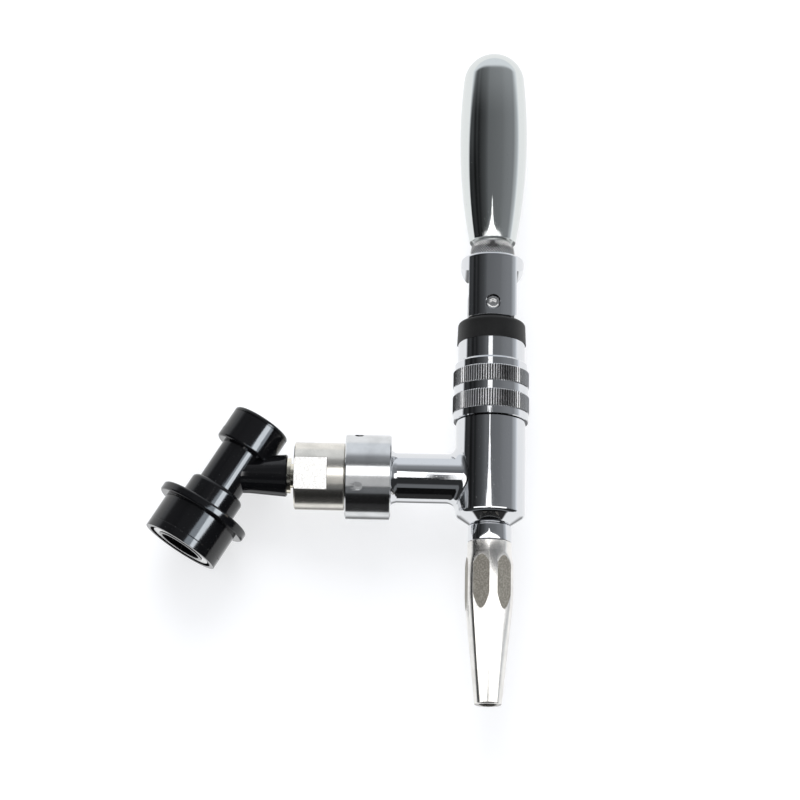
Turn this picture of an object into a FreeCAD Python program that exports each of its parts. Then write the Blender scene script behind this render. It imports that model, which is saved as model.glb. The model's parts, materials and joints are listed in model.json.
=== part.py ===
import FreeCAD, Part
import math
import os
import Sketcher

# Nitro coffee faucet with a ball-lock keg disconnect on its tail.
# Millimetres and degrees. +Z runs up the spout, stem and handle, +X points to the front,
# away from the keg side, and XZ is the mirror plane of the whole assembly.
# The origin is the middle of the keg-post socket of the disconnect, which carries the part.
# Three axes hold every piece: the faucet axis, upright; the tail axis, level, from the faucet
# back to the disconnect; and the disconnect axis, leaning with its cap towards the faucet.

SIZES = {
    # Clearances
    "slip_gap": 0.05,
    "thread_gap": 0.1,
    "running_gap": 0.05,
    "seat_gap": 0.05,
    "face_gap": 0.1,
    "cut_margin": 2.0,
    # Faucet body, heights from the tail axis
    "body_diameter": 31.6,
    "body_rise": 26.5,
    "body_drop": 17.3,
    "base_round": 2.5,
    "neck_drop": 21.3,
    "neck_diameter": 18.8,
    "spigot_diameter": 26.4,
    "spigot_length": 19.5,
    "chamber_diameter": 21.0,
    "chamber_drop": 9.0,
    "outlet_diameter": 8.4,
    "spout_thread_diameter": 15.2,
    "spout_thread_length": 16.7,
    "tube_diameter": 22.6,
    "tube_reach": 52.6,
    "tube_bore": 10.0,
    "tube_root_round": 4.0,
    "tail_flare_diameter": 25.4,
    "tail_flare_width": 2.6,
    # Bonnet
    "bonnet_gap": 0.3,
    "skirt_diameter": 34.3,
    "skirt_length": 3.5,
    "low_band_diameter": 34.9,
    "low_band_width": 8.3,
    "band_groove_diameter": 33.8,
    "band_groove_width": 3.8,
    "high_band_diameter": 34.6,
    "high_band_width": 7.9,
    "ledge_diameter": 33.1,
    "ledge_height": 4.2,
    "ledge_bevel": 1.0,
    "collar_diameter": 30.7,
    "collar_height": 9.3,
    "knurl_count": 60,
    "knurl_depth": 0.5,
    "knurl_width": 1.3,
    # Lever rest ring
    "rest_ring_diameter": 31.6,
    "rest_ring_flare": 0.4,
    "rest_ring_height": 10.2,
    "rest_ring_round": 1.8,
    "rest_ring_bore": 9.4,
    "rest_spigot_diameter": 20.0,
    "rest_spigot_length": 3.0,
    # Stem, its guide and its return spring
    "stem_diameter": 8.0,
    "stem_disc_diameter": 13.0,
    "stem_disc_thickness": 2.0,
    "spring_collar_diameter": 15.0,
    "spring_collar_height": 14.0,
    "spring_collar_thickness": 3.0,
    "tongue_thickness": 7.0,
    "tongue_overrun": 4.2,
    "tongue_length": 13.6,
    "guide_diameter": 16.0,
    "guide_flange_thickness": 3.0,
    "guide_rise": 12.0,
    "bonnet_seal_thickness": 1.2,
    "spring_washer_thickness": 1.4,
    "spring_washer_diameter": 19.0,
    "return_spring_diameter": 12.4,
    "return_spring_wire": 1.5,
    "return_spring_turns": 6.0,
    "stem_ring_section": 1.1,
    "stem_ring_spread": 5.0,
    "stem_ring_rise": 1.4,
    # Valve
    "seat_thickness": 3.0,
    "seat_lip_height": 0.8,
    "seat_lip_width": 1.4,
    "valve_washer_diameter": 14.0,
    "valve_washer_thickness": 3.0,
    "valve_screw_diameter": 3.0,
    "valve_screw_head_diameter": 5.6,
    "valve_screw_head_height": 1.4,
    "valve_screw_length": 8.0,
    # Lever head, pivot screw, stud, ferrule and handle
    "head_diameter": 29.2,
    "head_height": 30.6,
    "head_width": 22.0,
    "head_round": 5.0,
    "head_round_drop": 3.1,
    "head_top_round": 1.3,
    "head_foot_bevel": 0.5,
    "pivot_rise": 6.3,
    "heel_reach": 6.2,
    "heel_extra": 0.9,
    "lever_slot_width": 7.4,
    "lever_slot_rise": 6.4,
    "pivot_diameter": 5.0,
    "pivot_head_diameter": 6.4,
    "pivot_head_length": 4.5,
    "pivot_head_round": 1.0,
    "pivot_well_diameter": 7.0,
    "pivot_well_depth": 5.2,
    "pivot_reach": 10.5,
    "pivot_socket_width": 3.2,
    "pivot_socket_depth": 2.2,
    "stud_diameter": 9.5,
    "stud_depth": 9.0,
    "stud_length": 34.0,
    "ferrule_foot_diameter": 20.2,
    "ferrule_height": 8.6,
    "ferrule_rim": 1.0,
    "ferrule_bulge": 9.0,
    "ferrule_shoulder_diameter": 18.8,
    "ferrule_shoulder_height": 1.1,
    "ferrule_neck_diameter": 17.0,
    "handle_length": 94.6,
    "handle_foot_diameter": 21.4,
    "handle_belly_diameter": 31.4,
    "handle_belly_rise": 52.7,
    # Spout
    "spout_collar_height": 7.9,
    "spout_collar_diameter": 20.0,
    "spout_collar_bevel": 1.0,
    "nozzle_band_diameter": 20.1,
    "nozzle_band_height": 5.3,
    "nozzle_flare_height": 5.5,
    "nozzle_belly_diameter": 22.1,
    "nozzle_belly_height": 13.7,
    "nozzle_taper_height": 48.5,
    "nozzle_tip_diameter": 12.3,
    "nozzle_bore": 8.0,
    "nozzle_cone_height": 14.0,
    "nozzle_flat_width": 20.3,
    "nozzle_flat_count": 6,
    "nozzle_clocking": -20.0,
    "restrictor_diameter": 14.9,
    "restrictor_thickness": 1.0,
    "restrictor_gasket_thickness": 0.9,
    "restrictor_pinhole": 0.9,
    "restrictor_pinhole_circle": 5.6,
    "restrictor_pinhole_count": 5,
    "straightener_diameter": 12.2,
    "straightener_wall": 0.8,
    "straightener_length": 15.0,
    # Coupling nut and adapter, distances back from the faucet axis
    "nut_cover": 7.7,
    "nut_length": 20.6,
    "nut_diameter": 38.5,
    "nut_lip_thickness": 4.2,
    "nut_thread_diameter": 28.8,
    "nut_edge_bevel": 0.5,
    "spanner_hole": 3.9,
    "spanner_hole_depth": 3.4,
    "spanner_hole_place": 14.6,
    "spanner_hole_count": 4,
    "nut_clocking": -26.0,
    "clip_thickness": 1.4,
    "clip_width": 3.6,
    "clip_opening": 60.0,
    "tail_gasket_thickness": 1.8,
    "adapter_diameter": 30.6,
    "adapter_length": 22.9,
    "adapter_flat_width": 27.0,
    "adapter_flat_length": 14.9,
    "adapter_bore": 7.0,
    "adapter_clocking": -7.5,
    "flare_thread_diameter": 11.0,
    "flare_thread_length": 10.6,
    "flare_washer_thickness": 1.0,
    "flare_gap": 1.6,
    "flare_ring_diameter": 16.0,
    "flare_ring_thickness": 1.6,
    "flare_root_diameter": 9.8,
    "flare_root_length": 9.4,
    "flare_bore": 4.4,
    # Disconnect, distances along its axis from the crossing with the tail axis
    "tilt": 31.0,
    "arm_length": 26.9,
    "arm_diameter": 19.2,
    "arm_root_diameter": 16.6,
    "arm_root_reach": 10.0,
    "arm_end_round": 0.6,
    "neck_rod_diameter": 20.6,
    "step_diameter": 26.0,
    "step_drop": 7.7,
    "step_round": 2.0,
    "spring_shelf_drop": 21.0,
    "barrel_diameter": 22.6,
    "cup_foot": 12.4,
    "cup_band_diameter": 27.9,
    "cup_band_height": 5.0,
    "cup_round": 1.2,
    "valve_chamber_diameter": 11.6,
    "valve_floor_drop": 10.0,
    "valve_port_diameter": 6.4,
    "web_thickness": 2.5,
    "post_gasket_thickness": 3.0,
    "post_gasket_bore": 8.0,
    "post_gasket_diameter": 19.4,
    "socket_diameter": 17.3,
    "socket_length": 11.5,
    "mouth_diameter": 19.4,
    "cap_end": 28.4,
    "cap_diameter": 27.6,
    "cap_flange_thickness": 1.9,
    "cap_round": 1.2,
    "cap_thread_diameter": 20.8,
    "cap_thread_length": 5.0,
    "cap_slot_width": 2.2,
    "cap_slot_depth": 1.6,
    "cap_slot_length": 16.0,
    "cap_plug_diameter": 10.8,
    "cap_plug_length": 4.0,
    "cap_seal_thickness": 0.8,
    "poppet_disc_diameter": 10.0,
    "poppet_disc_thickness": 2.0,
    "poppet_seal_thickness": 1.4,
    "poppet_stem_diameter": 4.0,
    "poppet_stem_length": 9.0,
    "poppet_pin_diameter": 3.6,
    "poppet_pin_length": 6.6,
    "poppet_spring_diameter": 7.6,
    "poppet_spring_wire": 0.8,
    "poppet_spring_turns": 7.0,
    "arm_bore": 6.0,
    # Lock sleeve, its spring, balls and ring
    "flange_diameter": 43.6,
    "flange_drop": 18.4,
    "flange_thickness": 4.15,
    "flange_round": 1.0,
    "sleeve_diameter": 36.1,
    "sleeve_drop": 39.4,
    "sleeve_mouth_diameter": 31.6,
    "land_drop": 30.2,
    "land_length": 7.0,
    "land_gap": 0.15,
    "sleeve_spring_wire": 0.9,
    "sleeve_spring_turns": 3.0,
    "ball_diameter": 2.6,
    "ball_drop": 34.5,
    "ball_count": 4,
    "ball_gap": 0.1,
    "sleeve_ring_diameter": 28.5,
    "sleeve_ring_thickness": 1.6,
    "sleeve_ring_lip": 0.3,
}

doc = FreeCAD.newDocument("nitro_coffee_faucet")
sheet = doc.addObject("Spreadsheet::Sheet", "Sizes")


class Size:
    """A number of the model, together with the sheet expression that gives it."""

    def __init__(self, value, text):
        self.value = float(value)
        self.text = text

    def join(self, sign, other, value, swapped=False):
        first, last = (other, self) if swapped else (self, other)
        return Size(value, f"({first.text} {sign} {last.text})")

    def __add__(self, other):
        other = sized(other)
        return self.join("+", other, self.value + other.value)

    def __radd__(self, other):
        return sized(other) + self

    def __sub__(self, other):
        other = sized(other)
        return self.join("-", other, self.value - other.value)

    def __rsub__(self, other):
        return sized(other) - self

    def __mul__(self, other):
        other = sized(other)
        return self.join("*", other, self.value * other.value)

    def __rmul__(self, other):
        return sized(other) * self

    def __truediv__(self, other):
        other = sized(other)
        return self.join("/", other, self.value / other.value)

    def __neg__(self):
        return sized(0) - self


def sized(number):
    """A Size as it is, or a plain number as a Size."""
    return number if isinstance(number, Size) else Size(number, repr(float(number)))


def sine(angle):
    return Size(math.sin(math.radians(angle.value)), f"sin({angle.text})")


def cosine(angle):
    return Size(math.cos(math.radians(angle.value)), f"cos({angle.text})")


def root(square):
    return Size(math.sqrt(square.value), f"sqrt({square.text})")


class SheetSizes:
    """The driving sizes, one attribute for each cell of the sheet."""

    def __init__(self, sizes):
        for row, (name, number) in enumerate(sizes.items(), start=1):
            sheet.set(f"A{row}", str(number))
            sheet.setAlias(f"A{row}", name)
            setattr(self, name, Size(number, f"Sizes.{name}"))


S = SheetSizes(SIZES)
doc.recompute()

subparts = {}

# Heights on the faucet axis, from the tail axis
rim = S.body_rise
spigot_top = rim + S.spigot_length
bonnet_foot = rim + S.bonnet_gap
skirt_top = bonnet_foot + S.skirt_length
low_band_top = skirt_top + S.low_band_width
band_groove_top = low_band_top + S.band_groove_width
high_band_top = band_groove_top + S.high_band_width
ledge_top = high_band_top + S.ledge_height
collar_top = ledge_top + S.collar_height
rest_ring_top = collar_top + S.rest_ring_height
lever_foot = rest_ring_top + S.face_gap
pivot = lever_foot + S.pivot_rise
head_top = lever_foot + S.head_height
ferrule_top = head_top + S.ferrule_height
handle_top = ferrule_top + S.handle_length
guide_flange_foot = spigot_top - S.guide_flange_thickness
spring_washer_foot = guide_flange_foot - S.spring_washer_thickness
bonnet_seal_top = spigot_top + S.bonnet_seal_thickness
guide_top = spigot_top + S.guide_rise
spring_seat = S.spring_collar_height + S.spring_collar_thickness
seat_top = S.seat_thickness - S.chamber_drop
seat_lip = seat_top + S.seat_lip_height
valve_foot = seat_lip + S.seat_gap
stem_foot = valve_foot + S.valve_washer_thickness
spout_thread_foot = -S.neck_drop - S.spout_thread_length
nozzle_top = -S.neck_drop - S.face_gap - S.spout_collar_height
restrictor_top = spout_thread_foot - S.restrictor_gasket_thickness
restrictor_foot = restrictor_top - S.restrictor_thickness
straightener_top = restrictor_foot - S.face_gap
straightener_foot = straightener_top - S.straightener_length
nozzle_flare_top = nozzle_top - S.nozzle_band_height
nozzle_belly_top = nozzle_flare_top - S.nozzle_flare_height
nozzle_belly_foot = nozzle_belly_top - S.nozzle_belly_height
nozzle_tip = nozzle_belly_foot - S.nozzle_taper_height

# Distances back from the faucet axis along the tail axis
nut_start = S.tube_reach - S.nut_cover
nut_end = nut_start + S.nut_length
nut_lip_end = nut_start + S.nut_lip_thickness
clip_start = nut_lip_end + S.face_gap
clip_end = clip_start + S.clip_thickness
gasket_end = S.tube_reach + S.tail_gasket_thickness
adapter_start = nut_end + S.face_gap
adapter_end = adapter_start + S.adapter_length
flare_ring_start = adapter_end + S.flare_gap
flare_ring_end = flare_ring_start + S.flare_ring_thickness
flare_tip = flare_ring_start - S.flare_gap - S.flare_thread_length + S.flare_washer_thickness
crossing = flare_ring_end + S.arm_length

# Distances along the disconnect axis, upwards positive
valve_floor = -S.valve_floor_drop
web_foot = valve_floor - S.web_thickness
socket_top = web_foot - S.post_gasket_thickness
socket_foot = socket_top - S.socket_length
socket_middle = socket_top - S.socket_length / 2
cup_line = S.cup_foot + S.cup_band_height
cap_flange_foot = S.cap_end - S.cap_flange_thickness
cup_rim = cap_flange_foot - S.face_gap
cap_thread_foot = cap_flange_foot - S.cap_thread_length
cap_plug_foot = cap_thread_foot - S.cap_plug_length
cup_floor = cap_thread_foot - S.face_gap - S.cap_seal_thickness
poppet_disc_foot = valve_floor + S.seat_gap + S.poppet_seal_thickness
poppet_disc_top = poppet_disc_foot + S.poppet_disc_thickness
land_top = -S.land_drop
land_foot = land_top - S.land_length
sleeve_ring_top = land_foot - S.face_gap
sleeve_ring_foot = sleeve_ring_top - S.sleeve_ring_thickness
barrel_foot = sleeve_ring_foot - S.sleeve_ring_lip

# Places of the three axes in the part's frame
crossing_x = -socket_middle * sine(S.tilt)
crossing_z = -socket_middle * cosine(S.tilt)
faucet_x = crossing_x + crossing
UPRIGHT = FreeCAD.Rotation(0, 0, 0)
BACKWARDS = FreeCAD.Rotation(FreeCAD.Vector(0, 1, 0), -90)
LEANING = FreeCAD.Rotation(FreeCAD.Vector(0, 1, 0), S.tilt.value)
AXES = {
    "faucet": (faucet_x, crossing_z, UPRIGHT),
    "tail": (faucet_x, crossing_z, BACKWARDS),
    "disconnect": (crossing_x, crossing_z, LEANING),
}


def place(item, axis, clocking=None):
    """Stand an object on one of the three axes, turned about that axis by its clocking."""
    x, z, rotation = AXES[axis]
    if clocking:
        rotation = rotation * FreeCAD.Rotation(FreeCAD.Vector(0, 0, 1), clocking.value)
    item.Placement = FreeCAD.Placement(FreeCAD.Vector(x.value, 0, z.value), rotation)
    item.setExpression("Placement.Base.x", x.text)
    item.setExpression("Placement.Base.z", z.text)
    if axis == "disconnect":
        item.setExpression("Placement.Rotation.Angle", S.tilt.text)


def keep(item, label):
    """Register an object as a sub-part under its own label."""
    item.Label = label
    subparts[label] = item
    return item


def new_body(label, axis, clocking=None):
    body = doc.addObject("PartDesign::Body", label)
    place(body, axis, clocking)
    return keep(body, label)


def new_sketch(body, plane, offset=None, shift=None):
    """A sketch on a plane of the body, moved along its normal and along its own vertical."""
    sketch = body.newObject("Sketcher::SketchObject", body.Label + "_sketch")
    origin = [item for item in body.Origin.OriginFeatures if item.Role == plane][0]
    sketch.AttachmentSupport = [(origin, "")]
    sketch.MapMode = "FlatFace"
    if offset:
        sketch.setExpression("AttachmentOffset.Base.z", offset.text)
    if shift:
        sketch.setExpression("AttachmentOffset.Base.y", shift.text)
    return sketch


def pin_point(sketch, geometry, end, x, y):
    """Fix a point of a sketch by its two distances from the sketch's origin."""
    for kind, size, line in (("DistanceX", x, -2), ("DistanceY", y, -1)):
        if size.value == 0:
            sketch.addConstraint(Sketcher.Constraint("PointOnObject", geometry, end, line))
            continue
        rule = Sketcher.Constraint(kind, -1, 1, geometry, end, size.value)
        sketch.setExpression(f"Constraints[{sketch.addConstraint(rule)}]", size.text)


def arc_through(first, last, radius):
    """An arc between two points; its centre is on the left of the way if radius is positive."""
    chord = last - first
    left = FreeCAD.Vector(-chord.y, chord.x, 0).normalize()
    rise = math.sqrt(radius ** 2 - (chord.Length / 2) ** 2)
    centre = (first + last) / 2 + left * math.copysign(rise, radius)
    ends = (first, last) if radius > 0 else (last, first)
    angles = [math.atan2(end.y - centre.y, end.x - centre.x) for end in ends]
    if angles[1] < angles[0]:
        angles[1] += 2 * math.pi
    circle = Part.Circle(centre, FreeCAD.Vector(0, 0, 1), abs(radius))
    return Part.ArcOfCircle(circle, *angles)


def draw(sketch, corners):
    """Draw a closed outline, anticlockwise. A corner's third item bends the side after it."""
    corners = [tuple(sized(item) for item in corner) for corner in corners]
    spots = [FreeCAD.Vector(corner[0].value, corner[1].value, 0) for corner in corners]
    ends = []
    for number, corner in enumerate(corners):
        first, last = spots[number], spots[(number + 1) % len(spots)]
        bent = len(corner) == 3
        if bent:
            side = sketch.addGeometry(arc_through(first, last, corner[2].value), False)
            size = corner[2] if corner[2].value > 0 else -corner[2]
            rule = sketch.addConstraint(Sketcher.Constraint("Radius", side, size.value))
            sketch.setExpression(f"Constraints[{rule}]", size.text)
        else:
            side = sketch.addGeometry(Part.LineSegment(first, last), False)
        backwards = bent and corner[2].value < 0
        ends.append((side, 2, 1) if backwards else (side, 1, 2))
    for number, (side, start, end) in enumerate(ends):
        after, after_start, after_end = ends[(number + 1) % len(ends)]
        sketch.addConstraint(Sketcher.Constraint("Coincident", side, end, after, after_start))
        pin_point(sketch, side, start, corners[number][0], corners[number][1])


def draw_circle(sketch, x, y, diameter):
    x, y = sized(x), sized(y)
    centre = FreeCAD.Vector(x.value, y.value, 0)
    ring = sketch.addGeometry(
        Part.Circle(centre, FreeCAD.Vector(0, 0, 1), diameter.value / 2), False
    )
    pin_point(sketch, ring, 3, x, y)
    rule = sketch.addConstraint(Sketcher.Constraint("Diameter", ring, diameter.value))
    sketch.setExpression(f"Constraints[{rule}]", diameter.text)


def check_cut(body, feature, before):
    """Stop if a cut took nothing away."""
    if body.Shape.Volume > before - 1e-6:
        raise RuntimeError(f"{feature.Label} cuts nothing from {body.Label}")


def turn(body, corners, axis="V_Axis", cut=False, swing=None, plane="XZ_Plane", shift=None):
    """Add or cut a full turn of a half outline about an axis of its sketch."""
    sketch = new_sketch(body, plane, shift=shift)
    if swing:
        normal = FreeCAD.Vector(0, 0, 1)
        sketch.AttachmentOffset = FreeCAD.Placement(
            FreeCAD.Vector(), FreeCAD.Rotation(normal, swing.value)
        )
        sketch.setExpression("AttachmentOffset.Rotation.Angle", swing.text)
    draw(sketch, corners)
    before = body.Shape.Volume if cut else 0
    kind = "PartDesign::Groove" if cut else "PartDesign::Revolution"
    feature = body.newObject(kind, body.Label + ("_bore" if cut else "_turned"))
    feature.Profile = sketch
    feature.ReferenceAxis = (sketch, [axis])
    feature.Angle = 360
    sketch.Visibility = False
    doc.recompute()
    if cut:
        check_cut(body, feature, before)
    return feature


def mill(body, sketch, depth, both_ways=False, outwards=False):
    """Cut a sketch into the body: against its normal, along it, or half each way."""
    before = body.Shape.Volume
    feature = body.newObject("PartDesign::Pocket", body.Label + "_milled")
    feature.Profile = sketch
    feature.Type = "Length"
    feature.SideType = "Symmetric" if both_ways else "One side"
    feature.Reversed = outwards
    feature.setExpression("Length", sized(depth).text)
    sketch.Visibility = False
    doc.recompute()
    check_cut(body, feature, before)
    return feature


def around(body, feature, count):
    """Repeat a feature evenly about the body's axis."""
    pattern = body.newObject("PartDesign::PolarPattern", body.Label + "_pattern")
    pattern.Originals = [feature]
    line = [item for item in body.Origin.OriginFeatures if item.Role == "Z_Axis"][0]
    pattern.Axis = (line, [""])
    pattern.Angle = 360
    pattern.setExpression("Occurrences", count.text)
    body.Tip = pattern
    doc.recompute()
    return pattern


def ring_edges(body, spots):
    """Names of the circular edges about the body's axis at the given radii and heights."""
    names = []
    for number, edge in enumerate(body.Tip.Shape.Edges, start=1):
        curve = edge.Curve
        if not isinstance(curve, Part.Circle):
            continue
        for radius, height in spots:
            near = abs(curve.Radius - radius.value) < 1e-4
            near = near and abs(curve.Center.z - height.value) < 1e-4
            if near and math.hypot(curve.Center.x, curve.Center.y) < 1e-4:
                names.append(f"Edge{number}")
    if len(names) < len(spots):
        raise RuntimeError(f"{body.Label} lacks an edge to finish")
    return names


def finish_edges(body, kind, size, names):
    """Round or bevel the named edges of the body's last feature."""
    base = body.Tip
    feature = body.newObject("PartDesign::" + kind, body.Label + "_" + kind.lower())
    feature.Base = (base, names)
    feature.setExpression("Radius" if kind == "Fillet" else "Size", size.text)
    body.Tip = feature
    doc.recompute()
    return feature


def tube_ring(label, axis, inner, outer, foot, top):
    """A plain ring or washer, turned from its rectangle."""
    body = new_body(label, axis)
    turn(body, [(inner, foot), (outer, foot), (outer, top), (inner, top)])
    return body


def coil(label, axis, mean_diameter, wire, turns, foot, top):
    """A compression spring between two seats, a hair clear of both."""
    body = new_body(label, axis)
    sketch = new_sketch(body, "XZ_Plane")
    low = foot + wire / 2 + S.seat_gap
    high = top - wire / 2 - S.seat_gap
    draw_circle(sketch, mean_diameter / 2, low, wire)
    feature = body.newObject("PartDesign::AdditiveHelix", label + "_helix")
    feature.Profile = sketch
    feature.ReferenceAxis = (sketch, ["V_Axis"])
    feature.Mode = "height-turns-angle"
    feature.setExpression("Height", (high - low).text)
    feature.setExpression("Turns", turns.text)
    feature.Angle = 0
    sketch.Visibility = False
    doc.recompute()
    return body


def faucet_body():
    """Barrel with its bonnet spigot, spout neck and the tail tube, bored right through."""
    body = new_body("faucet_body", "faucet")
    barrel = S.body_diameter / 2
    base_corner = (barrel, -S.body_drop)
    turn(body, [
        (0, spout_thread_foot),
        (S.spout_thread_diameter / 2, spout_thread_foot),
        (S.spout_thread_diameter / 2, -S.neck_drop),
        (S.neck_diameter / 2, -S.neck_drop),
        base_corner,
        (barrel, rim),
        (S.spigot_diameter / 2, rim),
        (S.spigot_diameter / 2, spigot_top),
        (0, spigot_top),
    ])
    finish_edges(body, "Fillet", S.base_round, ring_edges(body, [base_corner]))
    tube = S.tube_diameter / 2
    flare = S.tail_flare_diameter / 2
    flare_end = nut_start - S.face_gap
    clip_floor = S.nut_thread_diameter / 2 - S.clip_width
    turn(body, [
        (-S.tube_reach, 0),
        (sized(0), 0),
        (sized(0), tube),
        (-(flare_end - S.tail_flare_width), tube, -(S.tail_flare_width * 2)),
        (-flare_end, flare),
        (-flare_end, tube),
        (-S.tube_reach, tube),
    ], axis="H_Axis")
    finish_edges(body, "Fillet", S.tube_root_round, tube_root_edges(body, tube, barrel))
    turn(body, [
        (0, -S.chamber_drop),
        (S.chamber_diameter / 2, -S.chamber_drop),
        (S.chamber_diameter / 2, spigot_top + S.cut_margin),
        (0, spigot_top + S.cut_margin),
    ], cut=True)
    turn(body, [
        (0, spout_thread_foot - S.cut_margin),
        (S.outlet_diameter / 2, spout_thread_foot - S.cut_margin),
        (S.outlet_diameter / 2, -S.chamber_drop),
        (0, -S.chamber_drop),
    ], cut=True)
    turn(body, [
        (-S.tube_reach - S.cut_margin, 0),
        (sized(0), 0),
        (sized(0), S.tube_bore / 2),
        (-S.tube_reach - S.cut_margin, S.tube_bore / 2),
    ], axis="H_Axis", cut=True)
    turn(body, [
        (-(clip_end + S.slip_gap), clip_floor - S.slip_gap),
        (-(clip_start - S.slip_gap), clip_floor - S.slip_gap),
        (-(clip_start - S.slip_gap), tube + S.cut_margin),
        (-(clip_end + S.slip_gap), tube + S.cut_margin),
    ], axis="H_Axis", cut=True)
    return body


def tube_root_edges(body, tube, barrel):
    """Names of the edges where the tail tube meets the barrel."""
    names = []
    for number, edge in enumerate(body.Tip.Shape.Edges, start=1):
        middle = edge.valueAt((edge.FirstParameter + edge.LastParameter) / 2)
        on_tube = abs(math.hypot(middle.y, middle.z) - tube.value) < 1e-3
        on_barrel = abs(math.hypot(middle.x, middle.y) - barrel.value) < 1e-3
        if on_tube and on_barrel and middle.x < 0:
            names.append(f"Edge{number}")
    if not names:
        raise RuntimeError("the tail tube doesn't meet the barrel")
    return names


def bonnet():
    """Knurled bonnet that screws down over the spigot and clamps the stem guide."""
    body = new_body("bonnet", "faucet")
    thread = S.spigot_diameter / 2 + S.thread_gap
    ceiling = bonnet_seal_top + S.seat_gap
    low_band = S.low_band_diameter / 2
    high_band = S.high_band_diameter / 2
    collar = S.collar_diameter / 2
    counterbore = S.rest_spigot_diameter / 2 + S.slip_gap
    counterbore_floor = collar_top - S.rest_spigot_length - S.face_gap
    turn(body, [
        (thread, bonnet_foot),
        (S.skirt_diameter / 2, bonnet_foot),
        (S.skirt_diameter / 2, skirt_top),
        (low_band, skirt_top),
        (low_band, low_band_top),
        (S.band_groove_diameter / 2, low_band_top),
        (S.band_groove_diameter / 2, band_groove_top),
        (high_band, band_groove_top),
        (high_band, high_band_top),
        (S.ledge_diameter / 2, high_band_top),
        (S.ledge_diameter / 2, ledge_top - S.ledge_bevel),
        (collar, ledge_top),
        (collar, collar_top),
        (counterbore, collar_top),
        (counterbore, counterbore_floor),
        (S.guide_diameter / 2 + S.slip_gap, counterbore_floor),
        (S.guide_diameter / 2 + S.slip_gap, ceiling),
        (thread, ceiling),
    ])
    for crest, foot, width in (
        (low_band, skirt_top, S.low_band_width),
        (high_band, band_groove_top, S.high_band_width),
    ):
        sketch = new_sketch(body, "XY_Plane", offset=foot)
        mouth = crest + S.knurl_depth
        draw(sketch, [
            (-S.knurl_width, -mouth),
            (S.knurl_width, -mouth),
            (0, -(crest - S.knurl_depth)),
        ])
        around(body, mill(body, sketch, width, outwards=True), S.knurl_count)
    return body


def lever_rest_ring():
    """Black collar on the bonnet that the lever's foot rests and rolls on."""
    body = new_body("lever_rest_ring", "faucet")
    outer = S.rest_ring_diameter / 2
    bore = S.rest_ring_bore / 2
    spigot = S.rest_spigot_diameter / 2
    rounded = (outer - S.rest_ring_flare, rest_ring_top)
    turn(body, [
        (bore, collar_top - S.rest_spigot_length),
        (spigot, collar_top - S.rest_spigot_length),
        (spigot, collar_top),
        (outer, collar_top),
        rounded,
        (bore, rest_ring_top),
    ])
    finish_edges(body, "Fillet", S.rest_ring_round, ring_edges(body, [rounded]))
    return body


def stem_guide():
    """Flanged bush that guides the stem and seals on its two rings."""
    body = new_body("stem_guide", "faucet")
    bore = S.stem_diameter / 2 + S.running_gap
    flange = S.chamber_diameter / 2 - S.slip_gap
    turn(body, [
        (bore, guide_flange_foot),
        (flange, guide_flange_foot),
        (flange, spigot_top),
        (S.guide_diameter / 2, spigot_top),
        (S.guide_diameter / 2, guide_top),
        (bore, guide_top),
    ])
    return body


def bonnet_seal():
    inner = S.guide_diameter / 2 + S.slip_gap
    outer = S.spigot_diameter / 2
    return tube_ring("bonnet_seal", "faucet", inner, outer, spigot_top, bonnet_seal_top)


def spring_washer():
    inner = S.stem_diameter / 2 + S.face_gap
    outer = S.spring_washer_diameter / 2
    foot = spring_washer_foot
    return tube_ring("spring_washer", "faucet", inner, outer, foot, guide_flange_foot)


def return_spring():
    return coil("return_spring", "faucet", S.return_spring_diameter, S.return_spring_wire,
                S.return_spring_turns, spring_seat, spring_washer_foot)


def valve_seat():
    """Seat ring on the chamber floor, with the raised lip that the valve washer closes on."""
    body = new_body("valve_seat", "faucet")
    bore = S.outlet_diameter / 2
    lip = bore + S.seat_lip_width
    outer = S.chamber_diameter / 2 - S.slip_gap
    turn(body, [
        (bore, -S.chamber_drop),
        (outer, -S.chamber_drop),
        (outer, seat_top),
        (lip, seat_top),
        (lip, seat_lip),
        (bore, seat_lip),
    ])
    return body


def valve_washer():
    inner = S.valve_screw_diameter / 2 + S.slip_gap
    outer = S.valve_washer_diameter / 2
    return tube_ring("valve_washer", "faucet", inner, outer, valve_foot, stem_foot)


def valve_screw():
    """Screw that holds the valve washer under the stem's disc."""
    body = new_body("valve_screw", "faucet")
    shank = S.valve_screw_diameter / 2
    head_foot = valve_foot - S.valve_screw_head_height
    turn(body, [
        (0, head_foot),
        (S.valve_screw_head_diameter / 2, head_foot),
        (S.valve_screw_head_diameter / 2, valve_foot),
        (shank, valve_foot),
        (shank, valve_foot + S.valve_screw_length),
        (0, valve_foot + S.valve_screw_length),
    ])
    return body


def stem_ring_heights():
    """Middles of the stem's two sealing rings."""
    low = spigot_top + S.stem_ring_rise
    return [low, low + S.stem_ring_spread]


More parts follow.
